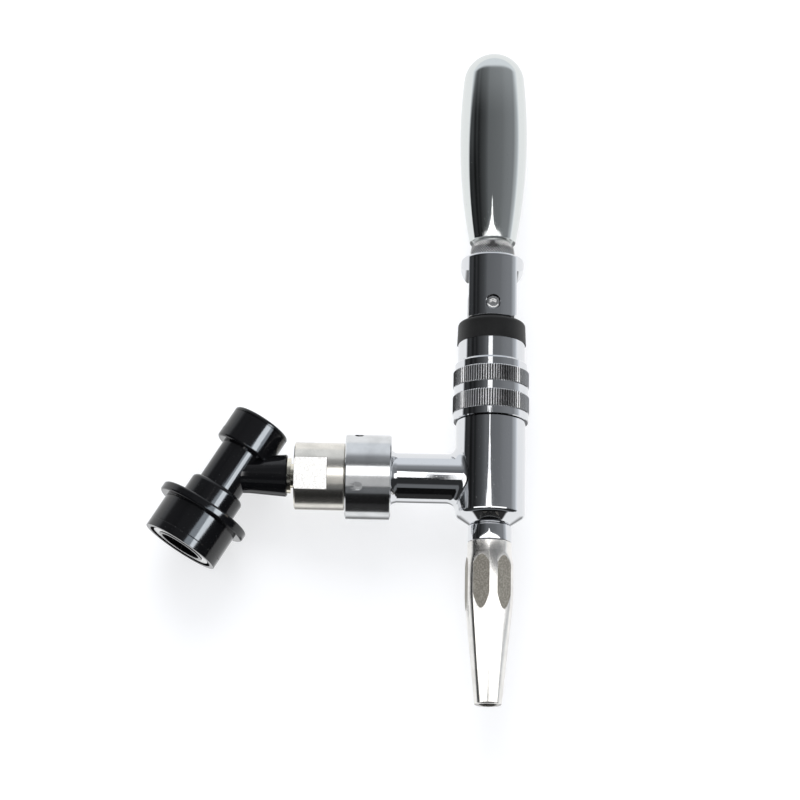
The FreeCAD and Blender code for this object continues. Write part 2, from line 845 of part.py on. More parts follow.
def stem():
    """Lifting stem: valve disc, spring collar, two ring grooves and the flat pivot tongue."""
    body = new_body("stem", "faucet")
    rod = S.stem_diameter / 2
    tap = S.valve_screw_diameter / 2 + S.slip_gap
    tap_top = valve_foot + S.valve_screw_length + S.face_gap
    disc_top = stem_foot + S.stem_disc_thickness
    groove = rod - S.stem_ring_section - S.slip_gap
    corners = [
        (tap, stem_foot),
        (S.stem_disc_diameter / 2, stem_foot),
        (S.stem_disc_diameter / 2, disc_top),
        (rod, disc_top),
        (rod, S.spring_collar_height),
        (S.spring_collar_diameter / 2, S.spring_collar_height),
        (S.spring_collar_diameter / 2, spring_seat),
        (rod, spring_seat),
    ]
    for middle in stem_ring_heights():
        half = S.stem_ring_section / 2 + S.face_gap
        corners += [
            (rod, middle - half),
            (groove, middle - half),
            (groove, middle + half),
            (rod, middle + half),
        ]
    tongue_top = pivot + S.tongue_overrun
    corners += [
        (rod, tongue_top),
        (0, tongue_top),
        (0, tap_top),
        (tap, tap_top),
    ]
    turn(body, corners)
    for side in (1, -1):
        flat = S.tongue_thickness / 2 * side
        edge = (rod + S.cut_margin) * side
        inner, outer = (flat, edge) if side > 0 else (edge, flat)
        sketch = new_sketch(body, "YZ_Plane")
        draw(sketch, [
            (inner, tongue_top - S.tongue_length),
            (outer, tongue_top - S.tongue_length),
            (outer, tongue_top + S.cut_margin),
            (inner, tongue_top + S.cut_margin),
        ])
        mill(body, sketch, S.stem_diameter + S.cut_margin, both_ways=True)
    sketch = new_sketch(body, "XZ_Plane")
    draw_circle(sketch, 0, pivot, S.pivot_diameter + S.running_gap * 2)
    mill(body, sketch, S.stem_diameter + S.cut_margin, both_ways=True)
    return body


def stem_rings():
    """The two sealing rings in the stem's grooves."""
    rings = []
    for number, middle in enumerate(stem_ring_heights(), start=1):
        ring = doc.addObject("Part::Torus", f"stem_ring_{number}")
        ring.setExpression("Radius1", (S.stem_diameter / 2 - S.stem_ring_section / 2).text)
        ring.setExpression("Radius2", (S.stem_ring_section / 2).text)
        ring.setExpression("Placement.Base.z", middle.text)
        rings.append(ring)
    group = doc.addObject("Part::Compound", "stem_rings")
    group.Links = rings
    place(group, "faucet")
    return keep(group, "stem_rings")


def lever_head():
    """Cam head: turned block with milled ears, rolling heel at the front, slot, pivot hole."""
    body = new_body("lever_head", "faucet")
    outer = S.head_diameter / 2
    half = S.head_width / 2
    ear = head_top - S.head_round_drop
    ear_centre = outer - S.head_round
    stud = S.stud_diameter / 2 + S.thread_gap
    stud_floor = head_top - S.stud_depth - S.face_gap
    top_corner = (outer, head_top)
    foot_corner = (outer, lever_foot)
    turn(body, [
        (0, lever_foot),
        foot_corner,
        top_corner,
        (stud, head_top),
        (stud, stud_floor),
        (0, stud_floor),
    ])
    finish_edges(body, "Fillet", S.head_top_round, ring_edges(body, [top_corner]))
    finish_edges(body, "Chamfer", S.head_foot_bevel, ring_edges(body, [foot_corner]))
    far = outer + S.cut_margin
    below = lever_foot - S.cut_margin
    above = head_top + S.cut_margin
    reach = half - ear_centre
    flat_top = ear - root(S.head_round * S.head_round - reach * reach)
    ear_edge = ear_centre + root(S.head_round * S.head_round
                                 - S.head_round_drop * S.head_round_drop)
    for side in (1, -1):
        corners = [
            (half * side, below),
            (far * side, below),
            (far * side, above),
            (ear_edge * side, above),
            (ear_edge * side, head_top, -S.head_round * side),
            (half * side, flat_top),
        ]
        sketch = new_sketch(body, "XZ_Plane")
        if side < 0:
            corners = mirrored_order(corners)
        draw(sketch, corners)
        mill(body, sketch, S.head_diameter + S.cut_margin, both_ways=True)
    heel = S.pivot_rise + S.heel_extra
    over = half - S.heel_reach
    heel_top = lever_foot + heel - root(heel * heel - over * over)
    sketch = new_sketch(body, "XZ_Plane")
    draw(sketch, [
        (S.heel_reach, below),
        (half + S.cut_margin, below),
        (half + S.cut_margin, heel_top),
        (half, heel_top, -heel),
        (S.heel_reach, lever_foot),
    ])
    mill(body, sketch, S.head_diameter + S.cut_margin, both_ways=True)
    sketch = new_sketch(body, "YZ_Plane")
    slot = S.lever_slot_width / 2
    draw(sketch, [
        (-slot, below),
        (slot, below),
        (slot, pivot + S.lever_slot_rise),
        (-slot, pivot + S.lever_slot_rise),
    ])
    mill(body, sketch, S.head_diameter + S.cut_margin, both_ways=True)
    well_floor = -(outer - S.pivot_well_depth)
    turn(body, [
        (-far, 0),
        (S.pivot_reach + S.face_gap, 0),
        (S.pivot_reach + S.face_gap, S.pivot_diameter / 2 + S.slip_gap),
        (well_floor, S.pivot_diameter / 2 + S.slip_gap),
        (well_floor, S.pivot_well_diameter / 2),
        (-far, S.pivot_well_diameter / 2),
    ], axis="H_Axis", cut=True, plane="YZ_Plane", shift=pivot)
    return body


def mirrored_order(corners):
    """Corners of a mirrored outline, put back in anticlockwise order with their bends."""
    points = [corner[:2] for corner in corners]
    bends = {number: corner[2] for number, corner in enumerate(corners) if len(corner) == 3}
    turned = []
    for number in reversed(range(len(points))):
        bend = bends.get((number - 1) % len(points))
        turned.append(points[number] + ((-bend,) if bend else ()))
    return turned


def pivot_screw():
    """Socket-head screw on which the lever swings."""
    body = new_body("pivot_screw", "faucet")
    shoulder = -(S.head_diameter / 2 - S.pivot_well_depth)
    face = shoulder - S.pivot_head_length
    shank = S.pivot_diameter / 2
    head = S.pivot_head_diameter / 2
    turn(body, [
        (face, 0),
        (S.pivot_reach, 0),
        (S.pivot_reach, shank),
        (shoulder, shank),
        (shoulder, head),
        (face + S.pivot_head_round, head, S.pivot_head_round),
        (face, head - S.pivot_head_round),
    ], axis="H_Axis", plane="YZ_Plane", shift=pivot)
    sketch = new_sketch(body, "XZ_Plane", offset=-face)
    corner = S.pivot_socket_width / math.sqrt(3)
    draw(sketch, [
        (corner * math.cos(math.radians(angle)), pivot + corner * math.sin(math.radians(angle)))
        for angle in range(30, 390, 60)
    ])
    mill(body, sketch, S.pivot_socket_depth)
    return body


def handle_stud():
    """Threaded stud that joins the lever head, the ferrule and the handle."""
    foot = head_top - S.stud_depth
    body = new_body("handle_stud", "faucet")
    radius = S.stud_diameter / 2
    turn(body, [
        (0, foot),
        (radius, foot),
        (radius, foot + S.stud_length),
        (0, foot + S.stud_length),
    ])
    return body


def knurled_ferrule():
    """Lock nut under the handle: plain rim, bulging band and a sloping shoulder."""
    body = new_body("knurled_ferrule", "faucet")
    bore = S.stud_diameter / 2 + S.thread_gap
    foot = S.ferrule_foot_diameter / 2
    top = ferrule_top - S.face_gap
    turn(body, [
        (bore, head_top),
        (foot, head_top),
        (foot, head_top + S.ferrule_rim, S.ferrule_bulge),
        (S.ferrule_shoulder_diameter / 2, top - S.ferrule_shoulder_height),
        (S.ferrule_neck_diameter / 2, top),
        (bore, top),
    ])
    return body


def handle():
    """Polished tap handle: a long bellied side that runs tangent into a round top."""
    body = new_body("handle", "faucet")
    bore = S.stud_diameter / 2 + S.thread_gap
    bore_top = head_top - S.stud_depth + S.stud_length + S.face_gap
    foot = S.handle_foot_diameter / 2
    belly = S.handle_belly_diameter / 2
    rise = S.handle_belly_rise
    swell = belly - foot
    side = (rise * rise + swell * swell) / (swell * 2)
    upper = S.handle_length - rise
    inset = side - belly
    dome = (side * side - inset * inset - upper * upper) / ((side - upper) * 2)
    reach = side - dome
    dome_centre = upper - dome
    join_radius = dome * inset / reach
    join_height = ferrule_top + rise + dome_centre + dome * dome_centre / reach
    turn(body, [
        (bore, ferrule_top),
        (foot, ferrule_top, side),
        (join_radius, join_height, dome),
        (0, handle_top),
        (0, bore_top),
        (bore, bore_top),
    ])
    return body


def spout_collar():
    """Lock ring on the spout thread, bevelled at the top."""
    body = new_body("spout_collar", "faucet")
    bore = S.spout_thread_diameter / 2 + S.thread_gap
    outer = S.spout_collar_diameter / 2
    top = -S.neck_drop - S.face_gap
    turn(body, [
        (bore, nozzle_top),
        (outer, nozzle_top),
        (outer, top - S.spout_collar_bevel),
        (outer - S.spout_collar_bevel, top),
        (bore, top),
    ])
    return body


def nozzle():
    """Long tapered spout with six wrench flats and a bore that narrows to the tip."""
    body = new_body("nozzle", "faucet", S.nozzle_clocking)
    thread = S.spout_thread_diameter / 2 + S.thread_gap
    bore = S.nozzle_bore / 2
    chamber = S.straightener_diameter / 2 + S.slip_gap
    top = nozzle_top - S.face_gap
    belly = S.nozzle_belly_diameter / 2
    turn(body, [
        (bore, nozzle_tip),
        (S.nozzle_tip_diameter / 2, nozzle_tip),
        (belly, nozzle_belly_foot),
        (belly, nozzle_belly_top),
        (S.nozzle_band_diameter / 2, nozzle_flare_top),
        (S.nozzle_band_diameter / 2, top),
        (thread, top),
        (thread, restrictor_foot),
        (chamber, restrictor_foot),
        (chamber, straightener_foot),
        (bore, straightener_foot - S.nozzle_cone_height),
    ])
    sketch = new_sketch(body, "XZ_Plane", offset=S.nozzle_flat_width / 2)
    draw(sketch, [
        (-belly, nozzle_tip + S.cut_margin),
        (belly, nozzle_tip + S.cut_margin),
        (belly, nozzle_flare_top + S.cut_margin),
        (-belly, nozzle_flare_top + S.cut_margin),
    ])
    around(body, mill(body, sketch, belly, outwards=True), S.nozzle_flat_count)
    return body


def restrictor_gasket():
    inner = S.outlet_diameter / 2
    outer = S.restrictor_diameter / 2
    return tube_ring("restrictor_gasket", "faucet", inner, outer, restrictor_top,
                     spout_thread_foot)


def restrictor_plate():
    """Disc with the pinholes that break the gas out of the coffee."""
    body = new_body("restrictor_plate", "faucet")
    outer = S.restrictor_diameter / 2
    turn(body, [
        (0, restrictor_foot),
        (outer, restrictor_foot),
        (outer, restrictor_top),
        (0, restrictor_top),
    ])
    sketch = new_sketch(body, "XY_Plane", offset=restrictor_top)
    draw_circle(sketch, S.restrictor_pinhole_circle / 2, 0, S.restrictor_pinhole)
    holes = mill(body, sketch, S.restrictor_thickness + S.cut_margin)
    around(body, holes, S.restrictor_pinhole_count)
    return body


def flow_straightener():
    """Thin tube with crossed vanes below the restrictor plate."""
    outer = S.straightener_diameter / 2
    inner = outer - S.straightener_wall
    shell = doc.addObject("Part::Cylinder", "straightener_shell")
    shell.setExpression("Radius", outer.text)
    hollow = doc.addObject("Part::Cylinder", "straightener_hollow")
    hollow.setExpression("Radius", inner.text)
    wall = doc.addObject("Part::Cut", "straightener_wall")
    wall.Base = shell
    wall.Tool = hollow
    vanes = []
    for name, long_side, short_side in (("x", "Length", "Width"), ("y", "Width", "Length")):
        vane = doc.addObject("Part::Box", "straightener_vane_" + name)
        span = inner * 2 + S.straightener_wall
        vane.setExpression(long_side, span.text)
        vane.setExpression(short_side, S.straightener_wall.text)
        across = {"Length": "x", "Width": "y"}
        vane.setExpression(f"Placement.Base.{across[long_side]}", (-(span / 2)).text)
        half = S.straightener_wall / 2
        vane.setExpression(f"Placement.Base.{across[short_side]}", (-half).text)
        vanes.append(vane)
    for item in [shell, hollow] + vanes:
        item.setExpression("Height", S.straightener_length.text)
        item.setExpression("Placement.Base.z", straightener_foot.text)
    joined = doc.addObject("Part::MultiFuse", "flow_straightener")
    joined.Shapes = [wall] + vanes
    place(joined, "faucet")
    return keep(joined, "flow_straightener")


def coupling_nut():
    """Spanner nut that draws the tail tube onto the adapter."""
    body = new_body("coupling_nut", "tail", S.nut_clocking)
    outer = S.nut_diameter / 2
    thread = S.nut_thread_diameter / 2
    lip = S.tube_diameter / 2 + S.running_gap
    turn(body, [
        (lip, nut_start),
        (outer, nut_start),
        (outer, nut_end),
        (thread, nut_end),
        (thread, nut_lip_end),
        (lip, nut_lip_end),
    ])
    rims = ring_edges(body, [(outer, nut_start), (outer, nut_end)])
    finish_edges(body, "Chamfer", S.nut_edge_bevel, rims)
    sketch = new_sketch(body, "XZ_Plane", offset=outer)
    draw_circle(sketch, 0, nut_start + S.spanner_hole_place, S.spanner_hole)
    around(body, mill(body, sketch, S.spanner_hole_depth), S.spanner_hole_count)
    return body


def retaining_clip():
    """Open spring clip in the tube's groove that the nut's lip pulls against."""
    body = new_body("retaining_clip", "tail")
    outer = S.nut_thread_diameter / 2 - S.face_gap * 2
    inner = outer - S.clip_width + S.face_gap * 3
    turn(body, [
        (inner, clip_start),
        (outer, clip_start),
        (outer, clip_end),
        (inner, clip_end),
    ])
    sketch = new_sketch(body, "XY_Plane", offset=clip_end + S.cut_margin)
    spread = sine(S.clip_opening / 2) / cosine(S.clip_opening / 2) * (outer + S.cut_margin)
    draw(sketch, [
        (0, 0),
        (outer + S.cut_margin, -spread),
        (outer + S.cut_margin, spread),
    ])
    mill(body, sketch, S.clip_thickness + S.cut_margin * 2)
    return body


def tail_gasket():
    inner = S.tube_bore / 2 + S.face_gap
    outer = S.tube_diameter / 2
    return tube_ring("tail_gasket", "tail", inner, outer, S.tube_reach, gasket_end)


def adapter():
    """Threaded adapter with two wrench flats and a flare socket in its far end."""
    body = new_body("adapter", "tail", S.adapter_clocking)
    outer = S.adapter_diameter / 2
    thread = S.nut_thread_diameter / 2 - S.face_gap
    bore = S.adapter_bore / 2
    socket = S.flare_thread_diameter / 2 + S.thread_gap
    socket_floor = flare_tip - S.flare_washer_thickness
    turn(body, [
        (bore, gasket_end),
        (thread, gasket_end),
        (thread, adapter_start),
        (outer, adapter_start),
        (outer, adapter_end),
        (socket, adapter_end),
        (socket, socket_floor),
        (bore, socket_floor),
    ])
    rims = ring_edges(body, [(outer, adapter_start), (outer, adapter_end)])
    finish_edges(body, "Chamfer", S.nut_edge_bevel, rims)
    sketch = new_sketch(body, "XZ_Plane", offset=S.adapter_flat_width / 2)
    draw(sketch, [
        (-outer, adapter_end - S.adapter_flat_length),
        (outer, adapter_end - S.adapter_flat_length),
        (outer, adapter_end + S.cut_margin),
        (-outer, adapter_end + S.cut_margin),
    ])
    around(body, mill(body, sketch, outer, outwards=True), sized(2))
    return body


def flare_washer():
    inner = S.flare_bore / 2
    outer = S.flare_thread_diameter / 2
    foot = flare_tip - S.flare_washer_thickness
    return tube_ring("flare_washer", "tail", inner, outer, foot, flare_tip)


def flare_insert():
    """Metal insert of the side arm: flare thread, bright ring and barbed root."""
    body = new_body("flare_insert", "tail")
    bore = S.flare_bore / 2
    thread = S.flare_thread_diameter / 2
    ring = S.flare_ring_diameter / 2
    root_radius = S.flare_root_diameter / 2
    root_end = flare_ring_end + S.flare_root_length
    turn(body, [
        (bore, flare_tip),
        (thread, flare_tip),
        (thread, flare_ring_start),
        (ring, flare_ring_start),
        (ring, flare_ring_end),
        (root_radius, flare_ring_end),
        (root_radius, root_end),
        (bore, root_end),
    ])
    return body


def disconnect_body():
    """Moulded body: socket barrel, step, neck and cup, with the side arm to the adapter."""
    body = new_body("disconnect_body", "disconnect")
    neck = S.neck_rod_diameter / 2
    step = S.step_diameter / 2
    barrel = S.barrel_diameter / 2
    cup = S.cap_diameter / 2
    step_edge = (step, -S.step_drop)
    cup_edge = (S.cup_band_diameter / 2, S.cup_foot)
    turn(body, [
        (0, barrel_foot),
        (barrel, barrel_foot),
        (barrel, -S.spring_shelf_drop),
        (step, -S.spring_shelf_drop),
        step_edge,
        (neck, -S.step_drop),
        (neck, S.cup_foot),
        cup_edge,
        (S.cup_band_diameter / 2, cup_line),
        (cup, cup_line),
        (cup, cup_rim),
        (0, cup_rim),
    ])
    finish_edges(body, "Fillet", S.step_round, ring_edges(body, [step_edge]))
    finish_edges(body, "Fillet", S.cup_round, ring_edges(body, [cup_edge]))
    arm = S.arm_diameter / 2
    turn(body, [
        (0, 0),
        (S.arm_length, 0),
        (S.arm_length, arm - S.arm_end_round),
        (S.arm_length - S.arm_end_round, arm),
        (S.arm_root_reach, S.arm_root_diameter / 2),
        (0, S.arm_root_diameter / 2),
    ], axis="H_Axis", swing=S.tilt)
    chamber = S.valve_chamber_diameter / 2
    thread = S.cap_thread_diameter / 2
    turn(body, [
        (0, valve_floor),
        (chamber, valve_floor),
        (chamber, cup_floor),
        (thread, cup_floor),
        (thread, cup_rim + S.cut_margin),
        (0, cup_rim + S.cut_margin),
    ], cut=True)
    turn(body, [
        (0, barrel_foot - S.cut_margin),
        (S.mouth_diameter / 2, barrel_foot - S.cut_margin),
        (S.mouth_diameter / 2, socket_foot),
        (S.socket_diameter / 2, socket_foot),
        (S.socket_diameter / 2, socket_top),
        (S.post_gasket_diameter / 2, socket_top),
        (S.post_gasket_diameter / 2, web_foot),
        (S.valve_port_diameter / 2, web_foot),
        (S.valve_port_diameter / 2, valve_floor),
        (0, valve_floor),
    ], cut=True)
    root_hole = S.flare_root_diameter / 2 + S.slip_gap
    root_floor = S.arm_length - S.flare_root_length - S.face_gap
    turn(body, [
        (0, 0),
        (S.arm_length + S.cut_margin, 0),
        (S.arm_length + S.cut_margin, root_hole),
        (root_floor, root_hole),
        (root_floor, S.arm_bore / 2),
        (0, S.arm_bore / 2),
    ], axis="H_Axis", cut=True, swing=S.tilt)
    sketch = new_sketch(body, "XZ_Plane", offset=barrel + S.cut_margin)
    draw_circle(sketch, 0, -S.ball_drop, S.ball_diameter + S.face_gap)
    depth = barrel + S.cut_margin - S.mouth_diameter / 2 + S.cut_margin
    around(body, mill(body, sketch, depth), S.ball_count)
    return body


def disconnect_cap():
    """Screw plug in the cup, with a coin slot and a nose that holds the poppet spring."""
    body = new_body("disconnect_cap", "disconnect")
    outer = S.cap_diameter / 2
    thread = S.cap_thread_diameter / 2 - S.thread_gap
    plug = S.cap_plug_diameter / 2
    top_edge = (outer, S.cap_end)
    turn(body, [
        (0, cap_plug_foot),
        (plug, cap_plug_foot),
        (plug, cap_thread_foot),
        (thread, cap_thread_foot),
        (thread, cap_flange_foot),
        (outer, cap_flange_foot),
        top_edge,
        (0, S.cap_end),
    ])
    finish_edges(body, "Fillet", S.cap_round, ring_edges(body, [top_edge]))
    sketch = new_sketch(body, "XY_Plane", offset=S.cap_end)
    half_length = S.cap_slot_length / 2
    half_width = S.cap_slot_width / 2
    draw(sketch, [
        (-half_length, -half_width),
        (half_length, -half_width),
        (half_length, half_width),
        (-half_length, half_width),
    ])
    mill(body, sketch, S.cap_slot_depth)
    return body


def cap_seal():
    inner = S.valve_chamber_diameter / 2
    outer = S.cap_thread_diameter / 2 - S.slip_gap
    top = cup_floor + S.cap_seal_thickness
    return tube_ring("cap_seal", "disconnect", inner, outer, cup_floor, top)


def poppet():
    """Disconnect valve: guide stem, disc, and the pin that the keg post pushes."""
    body = new_body("poppet", "disconnect")
    pin = S.poppet_pin_diameter / 2
    disc = S.poppet_disc_diameter / 2
    guide = S.poppet_stem_diameter / 2
    pin_foot = poppet_disc_foot - S.poppet_pin_length
    turn(body, [
        (0, pin_foot),
        (pin, pin_foot),
        (pin, poppet_disc_foot),
        (disc, poppet_disc_foot),
        (disc, poppet_disc_top),
        (guide, poppet_disc_top),
        (guide, poppet_disc_top + S.poppet_stem_length),
        (0, poppet_disc_top + S.poppet_stem_length),
    ])
    return body


def poppet_seal():
    inner = S.poppet_pin_diameter / 2 + S.slip_gap
    outer = S.poppet_disc_diameter / 2
    foot = valve_floor + S.seat_gap
    return tube_ring("poppet_seal", "disconnect", inner, outer, foot, poppet_disc_foot)


def poppet_spring():
    return coil("poppet_spring", "disconnect", S.poppet_spring_diameter, S.poppet_spring_wire,
                S.poppet_spring_turns, poppet_disc_top, cap_plug_foot)


def post_gasket():
    """Rubber ring at the top of the socket that seals on the keg post."""
    inner = S.post_gasket_bore / 2
    outer = S.post_gasket_diameter / 2 - S.slip_gap
    foot = socket_top + S.slip_gap
    top = web_foot - S.slip_gap
    return tube_ring("post_gasket", "disconnect", inner, outer, foot, top)


def lock_sleeve():
    """Spring-loaded sleeve whose inner land holds the lock balls in."""
    body = new_body("lock_sleeve", "disconnect")
    outer = S.sleeve_diameter / 2
    flange = S.flange_diameter / 2
    mouth = S.sleeve_mouth_diameter / 2
    land = S.barrel_diameter / 2 + S.land_gap
    guide = S.step_diameter / 2 + S.land_gap
    flange_foot = -S.flange_drop - S.flange_thickness
    low_edge = (flange, flange_foot)
    top_edge = (flange, -S.flange_drop)
    turn(body, [
        (mouth, -S.sleeve_drop),
        (outer, -S.sleeve_drop),
        (outer, flange_foot),
        low_edge,
        top_edge,
        (guide, -S.flange_drop),
        (guide, land_top),
        (land, land_top),
        (land, land_foot),
        (mouth, land_foot),
    ])
    finish_edges(body, "Fillet", S.flange_round, ring_edges(body, [low_edge, top_edge]))
    return body


def sleeve_spring():
    mean = (S.barrel_diameter + S.step_diameter) / 2 + S.land_gap
    return coil("sleeve_spring", "disconnect", mean, S.sleeve_spring_wire,
                S.sleeve_spring_turns, land_top, -S.spring_shelf_drop)


def sleeve_ring():
    """Metal ring on the end of the barrel that stops the sleeve."""
    inner = S.barrel_diameter / 2 + S.slip_gap
    outer = S.sleeve_ring_diameter / 2
    return tube_ring("sleeve_ring", "disconnect", inner, outer, sleeve_ring_foot, sleeve_ring_top)


def lock_balls():
    """Steel balls in the barrel's radial holes."""
    reach = S.barrel_diameter / 2 + S.land_gap - S.ball_gap - S.ball_diameter / 2
    balls = []
    for number in range(int(S.ball_count.value)):
        angle = math.radians(360 / S.ball_count.value * number)
        ball = doc.addObject("Part::Sphere", f"lock_ball_{number + 1}")
        ball.setExpression("Radius", (S.ball_diameter / 2).text)
        ball.setExpression("Placement.Base.x", (reach * math.sin(angle)).text)
        ball.setExpression("Placement.Base.y", (reach * -math.cos(angle)).text)
        ball.setExpression("Placement.Base.z", (-S.ball_drop).text)
        balls.append(ball)
    group = doc.addObject("Part::Compound", "lock_balls")
    group.Links = balls
    place(group, "disconnect")
    return keep(group, "lock_balls")


def check_model():
    """Stop before anything is written if an object failed or a sub-part is unsound."""
    for item in doc.Objects:
        if "Invalid" in item.State or "Error" in item.State:
            raise RuntimeError(f"{item.Label} is in state {item.State}")
    for label, item in subparts.items():
        if item.Shape.isNull() or not item.Shape.isValid():
            raise RuntimeError(f"{label} has no valid shape")
        print(f"{label}: {len(item.Shape.Solids)} solid, {item.Shape.Volume:.1f} mm3")


for make in (
    faucet_body, bonnet, lever_rest_ring, stem_guide, bonnet_seal, spring_washer,
    return_spring, valve_seat, valve_washer, valve_screw, stem, stem_rings, lever_head,
    pivot_screw, handle_stud, knurled_ferrule, handle, spout_collar, nozzle,
    restrictor_gasket, restrictor_plate, flow_straightener, coupling_nut, retaining_clip,
    tail_gasket, adapter, flare_washer, flare_insert, disconnect_body, disconnect_cap,
    cap_seal, poppet, poppet_seal, poppet_spring, post_gasket, lock_sleeve, sleeve_spring,
    sleeve_ring, lock_balls,
):
    make()
doc.recompute()
check_model()
os.makedirs("parts", exist_ok=True)
for label, item in subparts.items():
    item.Shape.exportStep(f"parts/{label}.step")
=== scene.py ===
import json
import math

import bmesh
import bpy
from mathutils import Matrix, Vector

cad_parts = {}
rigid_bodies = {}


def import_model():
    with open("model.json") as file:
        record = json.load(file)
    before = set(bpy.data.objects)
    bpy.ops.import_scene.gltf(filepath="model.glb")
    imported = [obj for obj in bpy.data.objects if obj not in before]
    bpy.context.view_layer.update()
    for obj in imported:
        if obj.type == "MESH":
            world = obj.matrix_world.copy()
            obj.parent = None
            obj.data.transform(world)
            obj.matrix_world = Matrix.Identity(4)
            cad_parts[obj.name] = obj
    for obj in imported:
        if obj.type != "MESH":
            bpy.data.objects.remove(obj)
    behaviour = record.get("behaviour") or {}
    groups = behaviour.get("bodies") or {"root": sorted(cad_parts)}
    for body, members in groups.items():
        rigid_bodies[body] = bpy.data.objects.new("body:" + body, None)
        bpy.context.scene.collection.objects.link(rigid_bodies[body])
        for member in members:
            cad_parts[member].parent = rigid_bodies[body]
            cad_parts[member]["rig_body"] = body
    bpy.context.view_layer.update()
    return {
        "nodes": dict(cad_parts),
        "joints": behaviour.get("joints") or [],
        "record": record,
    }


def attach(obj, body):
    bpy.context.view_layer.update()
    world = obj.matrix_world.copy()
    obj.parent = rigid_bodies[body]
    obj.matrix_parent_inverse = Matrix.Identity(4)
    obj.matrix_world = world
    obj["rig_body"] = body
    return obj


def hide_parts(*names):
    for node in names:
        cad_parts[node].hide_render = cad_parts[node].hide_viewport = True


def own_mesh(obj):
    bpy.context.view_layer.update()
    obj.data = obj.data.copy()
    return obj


# A chromed nitro coffee faucet, upright, with its tail tube, coupling nut and adapter going
# back to a leaning ball-lock keg disconnect. Turned shapes are worked out in millimetres on
# one of three axes and then stood in the frame in metres.

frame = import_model()

CROSSING = Vector((10.9446, 0, 18.2148))
FAUCET = Matrix.Translation(CROSSING + Vector((118.6, 0, 0)))
TAIL = FAUCET @ Matrix.Rotation(math.radians(-90), 4, "Y")
DISCONNECT = Matrix.Translation(CROSSING) @ Matrix.Rotation(math.radians(31), 4, "Y")
TO_METRES = Matrix.Scale(0.001, 4)
DEGREES = 180 / math.pi

# Heights on the faucet's axis, and the bore for the stud that joins handle to lever.
PIVOT_HEIGHT = 80.4
LEVER_TOP = 104.7
HANDLE_FOOT = 113.3
STUD_RADIUS = 5.0


# Finishes

class Value:
    """A shader socket that takes part in sums as a number does."""

    def __init__(self, tree, socket):
        self.tree = tree
        self.socket = socket

    def sum(self, operation, *terms):
        return self.tree.add("ShaderNodeMath", {"operation": operation}, terms)

    def __add__(self, other):
        return self.sum("ADD", self, other)

    def __radd__(self, other):
        return self.sum("ADD", other, self)

    def __sub__(self, other):
        return self.sum("SUBTRACT", self, other)

    def __rsub__(self, other):
        return self.sum("SUBTRACT", other, self)

    def __mul__(self, other):
        return self.sum("MULTIPLY", self, other)

    def __rmul__(self, other):
        return self.sum("MULTIPLY", other, self)

    def between(self, low, high):
        """0 at low, 1 at high, and a soft step between."""
        settings = {"interpolation_type": "SMOOTHSTEP"}
        values = {"Value": self, "From Min": low, "From Max": high}
        return self.tree.add("ShaderNodeMapRange", settings, values)


class Tree:
    """The nodes of one material, or of the world."""

    def __init__(self, owner):
        owner.use_nodes = True
        self.tree = owner.node_tree

    def add(self, kind, settings=None, values=None, output=0):
        """Add a node with its settings, then its socket values or links, and give an output."""
        node = self.tree.nodes.new(kind)
        for name, setting in (settings or {}).items():
            if name == "stops":
                self.set_stops(node.color_ramp, setting)
            else:
                setattr(node, name, setting)
        entries = values.items() if isinstance(values, dict) else enumerate(values or ())
        for key, value in entries:
            if isinstance(value, Value):
                self.tree.links.new(value.socket, node.inputs[key])
            else:
                node.inputs[key].default_value = value
        return Value(self, node.outputs[output]) if node.outputs else None

    def set_stops(self, ramp, stops):
        """Give a ramp its greys, as (position, level) stops."""
        for position, level in stops[1:-1]:
            ramp.elements.new(position)
        for element, (position, level) in zip(ramp.elements, stops):
            element.position = position
            element.color = (level, level, level, 1.0)

    def blend(self, share, first, second):
        """A colour between two colours."""
        return self.add("ShaderNodeMix", {"data_type": "RGBA"}, {0: share, 6: first, 7: second}, 2)

    def feed(self, node, socket, value):
        self.tree.links.new(value.socket, node.inputs[socket])


def rgb(red, green, blue):
    return (red, green, blue, 1.0)


def dimmed(tint, share):
    return rgb(*(part * share for part in tint))


class Finish(Tree):
    """A material on one Principled shader, with its constants set there."""

    def __init__(self, name, colour, metallic=0.0, roughness=0.5, **constants):
        self.material = bpy.data.materials.new(name)
        super().__init__(self.material)
        self.shader = self.tree.nodes["Principled BSDF"]
        self.shader.inputs["Base Color"].default_value = colour
        self.shader.inputs["Metallic"].default_value = metallic
        self.shader.inputs["Roughness"].default_value = roughness
        for socket, value in constants.items():
            self.shader.inputs[socket.replace("_", " ")].default_value = value
        self.place = self.add("ShaderNodeTexCoord", output=3)

    def along(self, stand):
        """The object's own coordinates in millimetres, turned to lie on a piece's axis."""
        back = stand.inverted()
        values = {"Vector": self.place, "Location": back.to_translation(),
                  "Rotation": back.to_euler(), "Scale": (1000, 1000, 1000)}
        return self.add("ShaderNodeMapping", None, values)

    def noise(self, scale, detail=2.0, place=None, stretch=None):
        """Noise with so many grains to the metre, or to the millimetre on along()."""
        place = place or self.place
        if stretch:
            place = self.add("ShaderNodeMapping", None, {"Vector": place, "Scale": stretch})
        values = {"Vector": place, "Scale": scale, "Detail": detail}
        return self.add("ShaderNodeTexNoise", None, values)

    def colour(self, value):
        self.feed(self.shader, "Base Color", value)

    def roughness(self, value):
        self.feed(self.shader, "Roughness", value)

    def bump(self, height, distance):
        """Relief, as a height from 0 to 1 and its depth in metres."""
        values = {"Height": height, "Distance": distance, "Strength": 1.0}
        self.feed(self.shader, "Normal", self.add("ShaderNodeBump", None, values))


